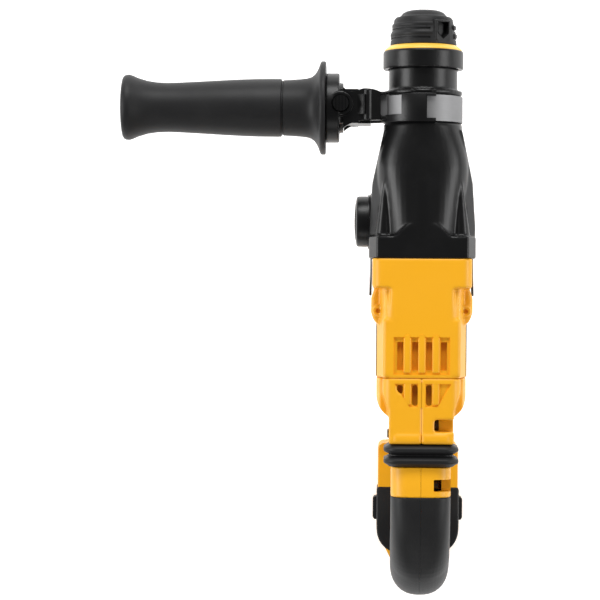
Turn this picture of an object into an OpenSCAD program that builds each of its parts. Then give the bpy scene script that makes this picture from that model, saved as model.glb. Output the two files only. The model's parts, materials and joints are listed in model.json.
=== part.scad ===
// Cordless rotary and demolition hammer with a D handle, side handle and sliding battery foot.
// Millimetres. +Y is the working direction along the spindle axis, +Z is up, +X is the operator's right.
// The origin is on the spindle axis, at the mouth of the steel tool holder.

/* [Tool holder and chuck] */
// Radius of the shank bore in the tool holder
bore_r = 5.05; // [5.02:0.01:5.1]
// Radius of the locking sleeve
sleeve_r = 25.4; // [25:0.1:26]
// Rearward travel of the locking sleeve
sleeve_travel = 8; // [6:0.5:8]

/* [Gearcase] */
// Radius of the collar that the side handle clamps on
collar_r = 23.4; // [23:0.1:23.6]
// Radius of the round barrel behind the collar
barrel_r = 25; // [24.8:0.1:25.4]
// Half width of the gearcase at its rear flange
case_half_w = 33.6; // [33:0.1:35]
// Lowest point of the gearcase
case_bottom = -57; // [-60:0.5:-56.5]

/* [Gear train] */
// Gear module
gear_m = 1; // [1]
// Teeth on the spindle gear
spindle_teeth = 48; // [48]
// Teeth on the intermediate shaft's small pinion
shaft_pinion_teeth = 16; // [16]
// Teeth on the intermediate shaft's driven gear
shaft_gear_teeth = 39; // [39]
// Teeth on the motor pinion
motor_pinion_teeth = 9; // [9]

/* [Motor housing] */
// Half width of the motor housing
motor_half_w = 28.3; // [28:0.1:30]
// Top of the motor housing above the spindle axis
body_top = 27; // [26.5:0.1:28]
// Wall thickness of the moulded shells
wall = 3; // [2.5:0.1:3]

/* [Rear handle] */
// Half width of the D handle
grip_half_w = 18.9; // [18:0.1:20]
// Rearmost point of the D handle
grip_rear = -367.6; // [-370:0.1:-365]
// Travel of the trigger
trigger_travel = 7; // [5:0.5:7]

/* [Battery foot] */
// Half width of the battery foot
foot_half_w = 27.4; // [27:0.1:30]
// Top face of the foot, which is the floor of the hand opening
foot_top = -122; // [-124:0.5:-121]
// Underside of the foot
foot_bottom = -165; // [-170:0.5:-164]

/* [Side handle] */
// Distance from the spindle axis to the end of the side handle
side_reach = 191; // [185:1:200]
// Largest radius of the rubber side grip
side_grip_r = 18.4; // [17:0.1:20]

/* [Hidden] */
$fn = 64;
fit = 0.05; // radial clearance of a running or sliding fit

// Stations along the spindle axis
neck_front = -30.5;
neck_rear = -45;
groove_front = -47.5;
groove_rear = -66;
case_rear = -151;
seam_y = -226; // joint between motor housing and rear shells
neck_end = -267; // rear face of the rear shells, where the bellows start
handle_front = -281.7; // front face of the D handle

land = 12; // length of the plain front stretch of the shank bore
relief = 0.25; // how much wider the bore is behind that stretch

// Bore of the spindle's impact cylinder and the pieces that slide in it
cylinder_r = 10.5;
impact_r = cylinder_r - fit;

// Shaft positions
shaft_z = -gear_m * (spindle_teeth + shaft_pinion_teeth) / 2;
motor_z = shaft_z + gear_m * (shaft_gear_teeth + motor_pinion_teeth) / 2;
wobble_y = -126;
ball_y = -17;
ball_r = 3.5;
ball_at = bore_r + 2.2;

// Selector knob
knob_y = -127;
knob_z = -15;
knob_r = 16.2;
knob_x = -(case_half_w + 1);

// Handle pivot in the foot
guide_z = 3; // height of the guide rod
trigger_rear = -334;
pivot_y = -333;
pivot_z = -136;

// Screw places
flange_screws = [[-25.6, 14.5], [25.6, 14.5], [-24, -44], [24, -44]];
neck_screw = [-255.5, 15]; // y, z of the cross screw in the rear shells
cap_screw = [-293, 15]; // y, z of the cross screw in the D handle
grip_screws = [[-338, -4], [-340, -82]];
foot_screws = [[-258, -84], [-284, -139]];

// ---------------------------------------------------------------- helpers

// Outline that is the same on both sides: the given right-hand points, then their mirror images.
function both_sides(p) = concat(p, [for (i = [len(p) - 1 : -1 : 0]) [-p[i][0], p[i][1]]]);

// Child axis +Z is laid along +Y, starting at y.
module along_y(y, z = 0) {
    translate([0, y, z]) rotate([-90, 0, 0]) children();
}

// Solid cylinder from y_front back to y_rear on an axis at height z.
module rod_y(r, y_front, y_rear, z = 0, x = 0) {
    translate([x, 0, 0]) along_y(y_rear, z) cylinder(r = r, h = y_front - y_rear);
}

// Cone from y_front back to y_rear.
module cone_y(r_front, r_rear, y_front, y_rear, z = 0) {
    along_y(y_rear, z) cylinder(r1 = r_rear, r2 = r_front, h = y_front - y_rear);
}

// Tube from y_front back to y_rear.
module tube_y(r_out, r_in, y_front, y_rear, z = 0, x = 0) {
    difference() {
        rod_y(r_out, y_front, y_rear, z, x);
        rod_y(r_in, y_front + 1, y_rear - 1, z, x);
    }
}

// Solid cylinder along X from x0 to x1.
module rod_x(r, x0, x1, y, z) {
    translate([x0, y, z]) rotate([0, 90, 0]) cylinder(r = r, h = x1 - x0);
}

// A cross-section drawn in (x, z) and swept back along Y.
module section(y_front, y_rear) {
    translate([0, y_front, 0]) rotate([90, 0, 0]) linear_extrude(y_front - y_rear) children();
}

// A side view drawn in (y, z) and swept along X from x0 to x1.
module side(x0, x1) {
    translate([x0, 0, 0]) rotate([90, 0, 90]) linear_extrude(x1 - x0) children();
}

// A plan view drawn in (x, y) and swept up from z0 to z1.
module plan(z0, z1) {
    translate([0, 0, z0]) linear_extrude(z1 - z0) children();
}

module box(x0, x1, y0, y1, z0, z1) {
    translate([x0, y0, z0]) cube([x1 - x0, y1 - y0, z1 - z0]);
}

// Rounded rectangle in 2D between two corners.
module round_rect(x0, y0, x1, y1, r) {
    translate([x0 + r, y0 + r]) offset(r, $fn = 32) square([x1 - x0 - 2 * r, y1 - y0 - 2 * r]);
}

// Keeps the left (-1) or right (+1) half, with a hair of clearance at the parting line.
module half(dir) {
    intersection() {
        children();
        box(dir > 0 ? 0 : -80, dir > 0 ? 80 : 0, -400, 20, -200, 60);
    }
}

// One point of an involute flank at radius r, on the side given by sign, for a tooth centred on angle c.
function involute(a) = tan(a) * 180 / PI - a;
function flank(r, n, c, sign, base, thick) =
    let (a = r > base ? acos(base / r) : 0, w = thick - involute(a))
    [r * cos(c + sign * w), r * sin(c + sign * w)];

// Gear outline with n teeth: stub involute teeth, 25 degree pressure angle.
module gear_outline(n, m, phase = 0, backlash = 0.12) {
    pr = n * m / 2;
    pressure = 25;
    base = pr * cos(pressure);
    tip = pr + 0.8 * m;
    root = pr - 1.05 * m;
    thick = 90 / n + involute(pressure) - backlash / 2 / pr * 180 / PI;
    start = max(base, root + 0.01);
    radii = [root, start, (start + pr) / 2, pr, (pr + tip) / 2, tip];
    polygon([for (i = [0 : n - 1])
        let (c = phase + 360 * i / n)
        each concat(
            [for (k = [0 : 5]) flank(radii[k], n, c, -1, base, thick)],
            [for (k = [5 : -1 : 0]) flank(radii[k], n, c, 1, base, thick)])]);
}

// Compression spring as separate true rings joined by two straight bars, one solid.
module spring_y(coil_r, wire_r, y_front, y_rear, turns, x = 0, z = 0) {
    pitch = (y_front - y_rear - 2 * wire_r) / (turns - 1);
    translate([x, 0, z]) {
        for (i = [0 : turns - 1])
            along_y(y_rear + wire_r + i * pitch)
                rotate_extrude() translate([coil_r, 0]) circle(wire_r, $fn = 16);
        for (s = [-1, 1])
            translate([s * coil_r, 0, 0]) rod_y(wire_r * 0.8, y_front - wire_r, y_rear + wire_r);
    }
}

// Ball bearing seen as one solid: two rings and a recessed ball space.
module bearing_y(r_out, r_in, y_front, y_rear, z = 0) {
    mid = (r_out + r_in) / 2;
    third = (r_out - r_in) / 6;
    difference() {
        tube_y(r_out, r_in, y_front, y_rear, z);
        tube_y(mid + third, mid - third, y_front + 1, y_front - 0.8, z);
        tube_y(mid + third, mid - third, y_rear + 0.8, y_rear - 1, z);
    }
}

// Cap screw along X: head outwards at x_head, shank towards x_tip.
module screw_x(x_head, x_tip, y, z, head_r = 3.4, shank_r = 1.9, head_h = 3) {
    s = x_head > x_tip ? -1 : 1;
    difference() {
        union() {
            rod_x(head_r, min(x_head, x_head + s * head_h), max(x_head, x_head + s * head_h), y, z);
            rod_x(shank_r, min(x_head, x_tip), max(x_head, x_tip), y, z);
        }
        translate([x_head, y, z]) rotate([0, 90, 0]) cylinder(r = 1.5, h = 3, center = true, $fn = 6);
    }
}

// ---------------------------------------------------------------- chuck and spindle

module tool_spindle() color("silver") {
    difference() {
        union() {
            rod_y(9.6, 0, -44);
            rod_y(13.5, -44, -70);
            rod_y(14, -70, -113);
        }
        rod_y(bore_r, 1, -land);
        rod_y(bore_r + relief, 0.1 - land, -46.5);
        rod_y(7.5, -46.5, -60);
        rod_y(cylinder_r, -60, -114);
        for (s = [-1, 1])
            rod_x(ball_r + 0.1, s > 0 ? 4 : -10, s > 0 ? 10 : -4, ball_y, 0);
        tube_y(10, 8.6, -2.4, -3.6);
    }
    for (s = [-1, 1])
        box(-1.2, 1.2, -38.5, -24, s > 0 ? 3.6 : -bore_r - 0.6, s > 0 ? bore_r + 0.6 : -3.6);
}

module dust_cap() color([0.1, 0.1, 0.1]) {
    along_y(0) rotate_extrude($fn = 96) dust_cap_outline();
}

// Half outline of the rubber nose cap: radius across, distance along the axis up.
module dust_cap_outline() {
    difference() {
        union() {
            polygon([[0, -15.8], [21, -15.8], [20.6, -9], [19, -2], [18, 1.4], [15.2, 2], [13.4, 4.4],
                [10, 6],
                [6.6, 6.5], [0, 6.5]]);
            for (y = [-10.2, -4.6]) translate([20.1 + y * -0.05, y]) circle(0.9, $fn = 24);
        }
        square([5.35, 40]);
        translate([0, -17]) square([9.7, 17.2]);
        translate([0, -17]) square([14.6, 6.2]);
        translate([0, -3.8]) square([11.9, 1.6]);
    }
}

module accent_ring() color("gold")
    difference() {
        cone_y(21.6, 24.7, -16.2, -19.5);
        rod_y(14.4, -10, -25);
    }

module chuck_sleeve() color([0.12, 0.12, 0.12])
    difference() {
        union() {
            cone_y(24.8, sleeve_r, -19.5, -20.3);
            rod_y(sleeve_r, -20.3, -31);
        }
        rod_y(22.1, neck_front + sleeve_travel + 0.5, -40);
        rod_y(14.1, -10, -40);
    }

// Hardened cone ring, carried in the sleeve, that holds the locking balls in.
module lock_ring() color("dimgray")
    difference() {
        rod_y(14, -12.6, -24);
        cone_y(11.9, 10.1, -12, -21);
        rod_y(10.1, -20.5, -25);
    }

module sleeve_spring() color("gray")
    spring_y(12.2, 0.8, -24.2, -43.8, 6);

module locking_ball(s) color("silver")
    translate([s * ball_at, ball_y, 0]) sphere(ball_r);

module locking_ball_left() locking_ball(-1);

module locking_ball_right() locking_ball(1);

module nose_circlip() color("gray")
    difference() {
        tube_y(11.6, 8.7, -2.6, -3.4);
        box(-2, 2, -5, 0, 5, 14);
    }

module spindle_bearing() color("lightgray")
    bearing_y(19.5, 13.5 + fit, -47, -57);

module spindle_bush() color("darkgoldenrod")
    tube_y(17, 14 + fit, -84.5, -95);

module spindle_gear() color("gray")
    section(-100, -108) difference() {
        gear_outline(spindle_teeth, gear_m, 0);
        circle(14.02);
    }

module beat_piece() color("silver") {
    rod_y(4.9, -42, -50.2);
    rod_y(7.4, -50, -58);
    rod_y(5, -57.8, -62);
}

module striker() color("silver") {
    rod_y(6.5, -72, -76);
    difference() {
        rod_y(impact_r, -76, -92);
        tube_y(11, 9.6, -83, -85);
    }
}

// ---------------------------------------------------------------- impact mechanism

// Piston with a rear fork; the trunnion turns in the fork's cross bore.
module piston() color("silver")
    difference() {
        union() {
            rod_y(impact_r, -102, -120);
            intersection() {
                rod_y(impact_r, -119, -132);
                box(-11, 11, -133, -118, -9, 9);
            }
        }
        tube_y(11, 9.6, -105, -107);
        box(-6.1, 6.1, -133, -120.5, -12, 12);
        rod_x(5.06, -12, 12, wobble_y, 0);
    }

module piston_trunnion() color("gray")
    difference() {
        rod_x(5, -9.8, 9.8, wobble_y, 0);
        translate([0, wobble_y, -8]) cylinder(r = 3.1, h = 16);
    }

// Wobble ring: non-rotating outer ring with its drive finger.
module wobble_ring() color("gray") {
    difference() {
        rod_y(20, wobble_y + 4.5, wobble_y - 4.5, shaft_z);
        rod_y(16.6, wobble_y + 6, wobble_y - 6, shaft_z);
    }
    translate([0, wobble_y, shaft_z + 18.5]) cylinder(r = 3, h = -shaft_z - 18.5 + 4.2);
    for (a = [0 : 30 : 330])
        translate([14.9 * cos(a), wobble_y, shaft_z + 14.9 * sin(a)]) sphere(2.2, $fn = 24);
}

// Ball-shaped hub on the intermediate shaft, with its oblique race.
module wobble_hub() color("dimgray")
    difference() {
        intersection() {
            translate([0, wobble_y, shaft_z]) sphere(12.5);
            rod_y(14, wobble_y + 8, wobble_y - 8, shaft_z);
        }
        rod_y(6.02, wobble_y + 10, wobble_y - 10, shaft_z);
        translate([0, wobble_y, shaft_z]) rotate([-90, 0, 12.6])
            rotate_extrude() translate([12.9, 0]) circle(1.6, $fn = 24);
    }

module intermediate_shaft() color("silver") {
    rod_y(5, -85, -101, shaft_z);
    section(-100, -108) translate([0, shaft_z])
        gear_outline(shaft_pinion_teeth, gear_m, 180 / shaft_pinion_teeth);
    rod_y(6, -107, -142.5, shaft_z);
    section(-142, -149) translate([0, shaft_z])
        gear_outline(shaft_gear_teeth, gear_m, 90);
    rod_y(5, -148, -157.5, shaft_z);
}

// Sliding dog sleeve that picks hammer drive or rotation drive.
module mode_clutch() color("gray")
    difference() {
        rod_y(9.4, -110, -115, shaft_z);
        rod_y(6 + fit, -109, -116, shaft_z);
        tube_y(10, 8, -111.6, -113.4, shaft_z);
    }

module shaft_bearings() color("lightgray") {
    bearing_y(9, 5 + fit, -86, -95, shaft_z);
    bearing_y(9.5, 5 + fit, -151.6, -157, shaft_z);
}

// ---------------------------------------------------------------- gearcase

// Cross-section of the lower case, grown or shrunk by d.
module case_section(d = 0) {
    offset(delta = d) polygon(both_sides([[26, 13], [case_half_w, 2], [case_half_w, -30], [25, -50],
        [17, case_bottom]]));
}

// Plan outline of the lower case.
module case_plan(d = 0) {
    offset(delta = d) polygon(both_sides([[24.6, -70], [31.8, -103], [case_half_w, -130],
        [case_half_w, -160]]));
}

// Side outline of the lower case.
module case_side(d = 0) {
    offset(delta = d) polygon([[-70, 13], [-70, -22], [-80, -41], [-90, -48], [-108, case_bottom],
        [-160, case_bottom], [-160, 13]]);
}

module lower_case(d = 0) {
    intersection() {
        section(-70 + d, case_rear) case_section(d);
        plan(-80, 40) case_plan(d);
        side(-50, 50) case_side(d);
    }
}

module gearcase() color([0.13, 0.13, 0.13]) {
    difference() {
        union() {
            rod_y(21.7, neck_front, neck_rear);
            rod_y(24.9, neck_rear, groove_front);
            rod_y(collar_r, groove_front, groove_rear);
            rod_y(barrel_r, groove_rear, -76);
            cone_y(barrel_r, 27.6, -76, -103);
            rod_y(27.6, -103, case_rear);
            lower_case();
            section(-137, case_rear) polygon(both_sides([[28.5, 27.4], [case_half_w, 14],
                [case_half_w, -20]]));
        }
        rod_y(17.2, neck_front + 1, neck_rear);
        rod_y(14.2, neck_rear + 1, -47);
        rod_y(19.5 + 0.02, -47, -57);
        rod_y(19, -57, -84.5);
        rod_y(17.02, -84, -95);
        rod_y(15, -94, -98);
        rod_y(25.3, -97.5, case_rear - 1);
        rod_y(9.02, -86, -98, shaft_z);
        rod_y(5.4, -84, -87, shaft_z);
        intersection() {
            section(-97.5, case_rear - 1) case_section(-wall);
            plan(-80, 6) case_plan(-wall);
            side(-50, 50) case_side(-wall);
        }
        for (p = flange_screws) {
            rod_y(2.1, -130, case_rear - 1, p[1], p[0]);
            rod_y(4, -118, -141, p[1], p[0]);
        }
        rod_x(6.1, -40, -28, knob_y, knob_z);
    }
}

module bearing_plate() color("lightgray")
    difference() {
        section(case_rear - 0.1, -157) plate_outline();
        rod_y(9.52, -151, -158, shaft_z);
        rod_y(9.52, -151, -158, motor_z);
        rod_y(5.6, -150, -152, shaft_z);
        rod_y(5.6, -150, -152, motor_z);
    }

module plate_outline() {
    hull() {
        translate([0, motor_z]) circle(23.8);
        translate([0, shaft_z]) circle(19);
    }
}

// Four cap screws from the gearcase flange into the motor housing.
module flange_screws() color("dimgray")
    for (p = flange_screws)
        translate([p[0], 0, p[1]]) difference() {
            union() {
                rod_y(3.5, -137.2, -141);
                rod_y(1.9, -140, -166);
            }
            along_y(-139.4) cylinder(r = 1.7, h = 3, $fn = 6);
        }

module selector_knob() color([0.1, 0.1, 0.1])
    difference() {
        union() {
            at_knob(knob_x - 7.4) cylinder(r1 = knob_r - 0.9, r2 = knob_r, h = 7.4);
            at_knob(knob_x - 8.6) cylinder(r1 = 11, r2 = knob_r - 0.9, h = 1.3);
        }
        rod_x(5.02, knob_x - 5, knob_x + 1, knob_y, knob_z);
        for (s = [-1, 1])
            translate([0, s * 10.8, 0]) at_knob(knob_x - 8.7) cylinder(r = 5.2, h = 4);
    }

// Child axis +Z is laid along +X on the knob's axis, starting at x.
module at_knob(x) {
    translate([x, knob_y, knob_z]) rotate([0, 90, 0]) children();
}

// Selector spindle with the eccentric pin that drives the fork.
module selector_shaft() color("gray") {
    rod_x(5, knob_x - 5, knob_x + 1.5, knob_y, knob_z);
    rod_x(5.9, knob_x + 1.5, -27, knob_y, knob_z);
    rod_x(1.4, -27.2, -23, knob_y, knob_z - 2);
}

module selector_bezel() color([0.16, 0.16, 0.16])
    difference() {
        rod_x(17.4, knob_x + 0.2, knob_x + 1, knob_y, knob_z);
        rod_x(6.2, knob_x - 1, knob_x + 2, knob_y, knob_z);
    }

// Fork plate: slides along the case wall and reaches the mode clutch's groove.
module shift_fork() color("lightgray") {
    difference() {
        box(-26.4, -24.6, -137, -109.5, -26, -8);
        box(-27, -24, knob_y - 1.7, knob_y + 1.7, knob_z - 4.6, knob_z + 1);
    }
    box(-26.4, -24.6, -113.2, -111.8, -34, -25);
    difference() {
        box(-26.4, 0, -113.1, -111.9, shaft_z - 5, shaft_z + 5);
        rod_y(8.2, -110, -115, shaft_z);
    }
}

// ---------------------------------------------------------------- motor

// Cross-section of the motor housing behind its front band.
module motor_section(d = 0) {
    offset(r = 7 + d, $fn = 48) polygon(both_sides([[17, body_top - 7], [motor_half_w - 7, -2],
        [motor_half_w - 7, -38], [13, case_bottom + 7]]));
}

// Cross-section of the wide front band of the motor housing.
module band_section() {
    offset(r = 6, $fn = 48) polygon(both_sides([[25.2, body_top - 6], [25.7, -30],
        [12, case_bottom + 6]]));
}

// Air slots in the top, shared by the motor housing and the rear shells.
module top_slots(y_front, y_rear) {
    for (x = [-13.5, -4.2, 4.5, 13.7])
        box(x - 1.8, x + 1.8, y_rear, y_front, body_top - 12, body_top + 2);
}

module motor_housing() color([0.98, 0.7, 0.1])
    difference() {
        union() {
            section(case_rear - 0.05, -169.5) band_section();
            section(-169, seam_y) motor_section();
        }
        section(case_rear + 1, -157.02) offset(delta = 0.1) plate_outline();
        rod_y(23.6, -156, -170, motor_z);
        section(-157, -170) round_rect(-15, -52, 15, -20, 4);
        difference() {
            section(-169.5, seam_y - 1) motor_section(-wall);
            for (y = [-175, -199])
                intersection() {
                    section(y, y - 3) difference() {
                        motor_section(1 - wall);
                        translate([0, motor_z]) circle(23.1);
                        for (a = [45 : 90 : 315]) rotate(a) square([60, 6], center = true);
                    }
                    box(-40, 40, -230, -160, -33, 40);
                }
        }
        for (p = flange_screws) rod_y(2, -150, -167, p[1], p[0]);
        for (s = [-1, 1]) for (z = [-24, -16, -8, 0])
            box(s > 0 ? 20 : -36, s > 0 ? 36 : -20, -166, -159.5, z, z + 4);
        top_slots(-203.3, -220.8);
    }

module stator_core() color("dimgray")
    difference() {
        rod_y(23, -172, -204, motor_z);
        rod_y(12.2, -170, -206, motor_z);
        for (a = [0 : 60 : 300])
            translate([0, 0, motor_z]) rotate([0, a, 0]) box(13.5, 19, -206, -170, -2.6, 2.6);
    }

module stator_coils() color("peru") {
    tube_y(20, 13.4, -168.2, -171.9, motor_z);
    tube_y(20, 13.4, -204.1, -208, motor_z);
    for (a = [0 : 60 : 300])
        translate([0, 0, motor_z]) rotate([0, a, 0]) box(13.7, 18.8, -204.6, -171.4, -2.5, 2.5);
}

module rotor() color("silver") {
    rod_y(4, -149, -222, motor_z);
    rod_y(11.6, -172, -204, motor_z);
    section(-141.2, -150) translate([0, motor_z])
        gear_outline(motor_pinion_teeth, gear_m, 10);
}

module cooling_fan() color([0.2, 0.2, 0.2])
    difference() {
        union() {
            rod_y(6.5, -158.5, -166, motor_z);
            rod_y(22, -164.6, -166, motor_z);
            for (a = [0 : 30 : 330])
                translate([0, 0, motor_z]) rotate([0, a, 0]) box(6, 21.5, -165, -159.5, -0.7, 0.7);
        }
        rod_y(4.02, -157, -168, motor_z);
    }

module motor_bearings() color("lightgray") {
    bearing_y(9.5, 4 + fit, -151.6, -157, motor_z);
    bearing_y(8, 4 + fit, -215, -221, motor_z);
}

// Spider that carries the rear motor bearing, with air windows between its arms.
module motor_end_cap() color([0.2, 0.2, 0.2])
    difference() {
        union() {
            tube_y(22.9, 20.6, -206, -218, motor_z);
            rod_y(10.5, -213, -221, motor_z);
            for (a = [0 : 60 : 300])
                translate([0, 0, motor_z]) rotate([0, a, 0]) box(9, 21.5, -218, -214, -2, 2);
        }
        rod_y(8.02, -215, -222, motor_z);
        rod_y(5, -210, -216, motor_z);
    }

module controller() color([0.2, 0.25, 0.2]) {
    box(-15, 15, -222, -176, -48, -37);
    for (x = [-12 : 8 : 12]) box(x - 1, x + 1, -221, -178, -37.5, -34.5);
}

// ---------------------------------------------------------------- rear shells, strut and foot

// Plan outline of the upper, narrower part of the rear shells.
module upper_rear_plan(d = 0) {
    offset(delta = d) polygon(both_sides([[24.4, seam_y + 5], [24.4, -234], [20.3, -247],
        [20.3, neck_end - 8]]));
}

// Plan outline of the lower, rounded part.
module lower_rear_plan(d = 0) {
    offset(r = 16 + d, $fn = 64) polygon(both_sides([[12.3, -205], [12.3, -237]]));
}

module rear_body(d = 0) {
    intersection() {
        section(seam_y, neck_end) offset(r = 6 + d, $fn = 48)
            polygon(both_sides([[18.4, body_top - 6], [16, -8]]));
        plan(-60, 60) upper_rear_plan(d);
    }
    intersection() {
        section(seam_y, -262) motor_section(d);
        plan(-90, 9) lower_rear_plan(d);
    }
}

// Side outline of the strut that carries the foot in front of the hand.
module strut_side(d = 0) {
    offset(delta = d) polygon([[-229, -46], [-251, -46], [-259, -72], [-285, -120], [-289, -138],
        [-278, -138],
        [-275, -126], [-247, -88], [-232, -66]]);
}

// Plan outline of the foot.
module foot_plan(d = 0) {
    offset(r = 4 + d, $fn = 48) polygon(both_sides([[foot_half_w - 4, -279], [foot_half_w - 4, -335],
        [16, -350.5]]));
}

// Space taken by the rubber side pads.
module pad_space() {
    difference() {
        plan(-158, -127) foot_plan(1);
        plan(-159, -126) foot_plan(-2.4);
        box(-40, 40, -305, -270, -170, -120);
        box(-12, 12, -360, -340, -170, -120);
    }
}

// Block of material around a screw recess that is open at the top.
module screw_pocket(p, r) {
    box(-19, 19, p[0] - r, p[0] + r, p[1] - r, 26);
}

module rear_shell(dir) {
    half(dir) difference() {
        union() {
            difference() {
                union() {
                    rear_body();
                    side(-15, 15) strut_side();
                    plan(foot_bottom, foot_top) foot_plan();
                }
                intersection() {
                    rear_body(-wall);
                    box(-60, 60, neck_end + wall, 0, -100, 100);
                }
                side(-12, 12) strut_side(-wall);
                box(-16.3, 16.3, -350.2, -279, -150, -125);
            }
            intersection() {
                union() {
                    screw_pocket(neck_screw, 5.4);
                    for (p = foot_screws) rod_x(4.5, -18, 18, p[0], p[1]);
                }
                union() {
                    rear_body(-1);
                    side(-14, 14) strut_side(-1);
                    plan(foot_bottom, foot_top) foot_plan(-1);
                }
            }
        }
        section(seam_y + 1, seam_y - 3.5) motor_section(-wall);
        top_slots(-230, -243);
        rod_x(1.95, -16, 30, neck_screw[0], neck_screw[1]);
        box(8, 30, neck_screw[0] - 3.8, neck_screw[0] + 3.8, neck_screw[1] - 3.8, 30);
        for (p = foot_screws) {
            rod_x(1.95, -12, 30, p[0], p[1]);
            rod_x(3.8, 8, 30, p[0], p[1]);
        }
        box(-30, 30, -264.8, -258.8, -6.2, -0.8);
        rod_y(2.52, -260, -270, guide_z);
        box(-16.3, 16.3, -350.2, -313, -150, -120);
        rod_x(4.02, -24.2, 24.2, pivot_y, pivot_z);
        pad_space();
        box(-22, 22, -343, -260, -161.5, -153);
        box(-18.5, 18.5, -343, -260, -170, -161);
        box(-13.2, 13.2, -343.2, -318, -153.2, -149);
    }
}

module rear_shell_left() color([0.98, 0.7, 0.1]) rear_shell(-1);

module rear_shell_right() color([0.98, 0.7, 0.1]) rear_shell(1);

// Cross screws that close the two rear shells.
module body_screws() color([0.15, 0.15, 0.15]) {
    screw_x(11, -12, neck_screw[0], neck_screw[1]);
    for (p = foot_screws) screw_x(11, -11, p[0], p[1]);
}

// Cross bar of the forward and reverse switch: it stands out of one side at a time.
module direction_bar() color([0.08, 0.08, 0.08])
    box(-21.3, 17.3, -264.6, -259, -6, -1);

module foot_pad(dir) {
    intersection() {
        pad_space();
        box(dir > 0 ? 0 : -60, dir > 0 ? 60 : 0, -400, 0, -200, 0);
    }
    plan(-149, -134) polygon([for (p = [[25.6, -313], [28, -313], [31, -316], [31, -325.5], [28, -328.5],
        [25.6, -328.5]]) [dir * p[0], p[1]]]);
}

module foot_pad_left() color([0.12, 0.12, 0.12]) foot_pad(-1);

module foot_pad_right() color([0.12, 0.12, 0.12]) foot_pad(1);

// Contact carrier between the battery rails.
module terminal_block() color([0.1, 0.1, 0.1]) {
    box(-13, 13, -342.8, -318.4, -153, -149.5);
    box(-9, 9, -342.8, -322, -159.5, -152.8);
    for (x = [-12, -10.4, 10.4, 12]) box(x - 0.5, x + 0.5, -342, -324, -159, -152.8);
}

module pivot_pin() color("silver")
    rod_x(4, -24, 24, pivot_y, pivot_z);

// ---------------------------------------------------------------- D handle

// Side outline of the D handle, grown or shrunk by d.
module handle_side(d = 0) {
    offset(delta = d) polygon([[handle_front, 23.5], [-300, 25], [-318, 23.5], [-335, 18.5], [-350, 9],
        [-360, -4],
        [-365.7, -18], [grip_rear, -34], [-365.2, -60], [-358, -92], [-350, -118], [-346, -132],
        [-345, -138], [-340, -146],
        [-333, -148.5], [-326, -146], [-321, -138], [-320, -124], [-323, -96], [-327, -62],
        [-328, -40], [-322, -26],
        [-306, -18], [-296, -15.5], [handle_front, -15.5]]);
}

// Hole in the front of the grip for the trigger.
module trigger_opening() {
    box(-8.4, 8.4, trigger_rear - trigger_travel - 1, -300, -57.5, -20.5);
}

module handle_shell(dir) {
    half(dir) difference() {
        union() {
            difference() {
                union() {
                    side(-15.8, 15.8) handle_side(-2.8);
                    side(-15.8, 15.8) intersection() {
                        handle_side();
                        translate([-360, -160]) square([60, 41.8]);
                    }
                    side(-grip_half_w, grip_half_w) intersection() {
                        handle_side();
                        translate([-300.5, -40]) square([40, 80]);
                    }
                }
                intersection() {
                    side(-12.8, 12.8) handle_side(-5.8);
                    box(-40, 40, -370, -300, -116, 60);
                }
                intersection() {
                    side(-15.9, 15.9) handle_side(-3);
                    box(-40, 40, -302, handle_front - 3, -40, 60);
                }
            }
            intersection() {
                screw_pocket(cap_screw, 5.4);
                side(-18, 18) handle_side(-1);
            }
            for (p = grip_screws) rod_x(4.2, -14, 14, p[0], p[1]);
        }
        trigger_opening();
        rod_x(1.95, -16, 30, cap_screw[0], cap_screw[1]);
        box(8, 30, cap_screw[0] - 3.8, cap_screw[0] + 3.8, cap_screw[1] - 3.8, 30);
        for (p = grip_screws) {
            rod_x(1.95, -12, 30, p[0], p[1]);
            rod_x(3.8, 11, 30, p[0], p[1]);
        }
        rod_y(4.5, -280, -287.5, guide_z);
        rod_x(4 + fit, -20, 20, pivot_y, pivot_z);
    }
}

module handle_shell_left() color([0.98, 0.7, 0.1]) handle_shell(-1);

module handle_shell_right() color([0.98, 0.7, 0.1]) handle_shell(1);

// Rubber overmould of one half of the grip.
module handle_grip(dir) {
    half(dir) difference() {
        intersection() {
            side(-19, 19) handle_side();
            box(-30, 30, -370, -300.6, -118, 60);
        }
        side(-15.8, 15.8) handle_side(-2.8);
        trigger_opening();
        for (p = grip_screws) rod_x(3.8, 9, 30, p[0], p[1]);
    }
}

module handle_grip_left() color([0.14, 0.14, 0.14]) handle_grip(-1);

module handle_grip_right() color([0.14, 0.14, 0.14]) handle_grip(1);

module handle_screws() color([0.15, 0.15, 0.15]) {
    screw_x(11, -12, cap_screw[0], cap_screw[1]);
    for (p = grip_screws) screw_x(14, -11, p[0], p[1]);
}

module trigger() color([0.1, 0.1, 0.1])
    difference() {
        side(-8, 8) polygon([[trigger_rear, -21], [-322, -21], [-316, -25], [-313.6, -32],
            [-314.4, -42], [-313.4, -51], [-315.6, -57], [trigger_rear, -57]]);
        box(-2.4, 2.4, -335, -325, -42.4, -37.6);
    }

// Switch with its plunger, which the trigger slides over.
module trigger_switch() color([0.25, 0.25, 0.25]) {
    box(-10, 10, -354.4, -342.4, -62, -16);
    box(-2, 2, -342.5, -333.5, -42, -38);
}

// Two-lobed rubber bellows between body and handle.
module bellows() color([0.1, 0.1, 0.1])
    difference() {
        union() {
            section(-267.2, handle_front + 0.4) bellows_section(-3.6);
            for (y = [-268.2, -275.8]) {
                section(y, y - 4.9) bellows_section();
                section(y + 0.9, y - 5.8) bellows_section(-1.6);
            }
        }
        section(-266, -283) bellows_section(-5.8);
    }

module bellows_section(d = 0) {
    offset(r = 9 + d, $fn = 48) polygon(both_sides([[14.5, 19.2], [14.5, -6]]));
}

module damper_springs() color("gray")
    for (s = [-1, 1]) spring_y(4, 0.7, -267.4, handle_front + 0.4, 5, s * 10.5, 8);

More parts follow.
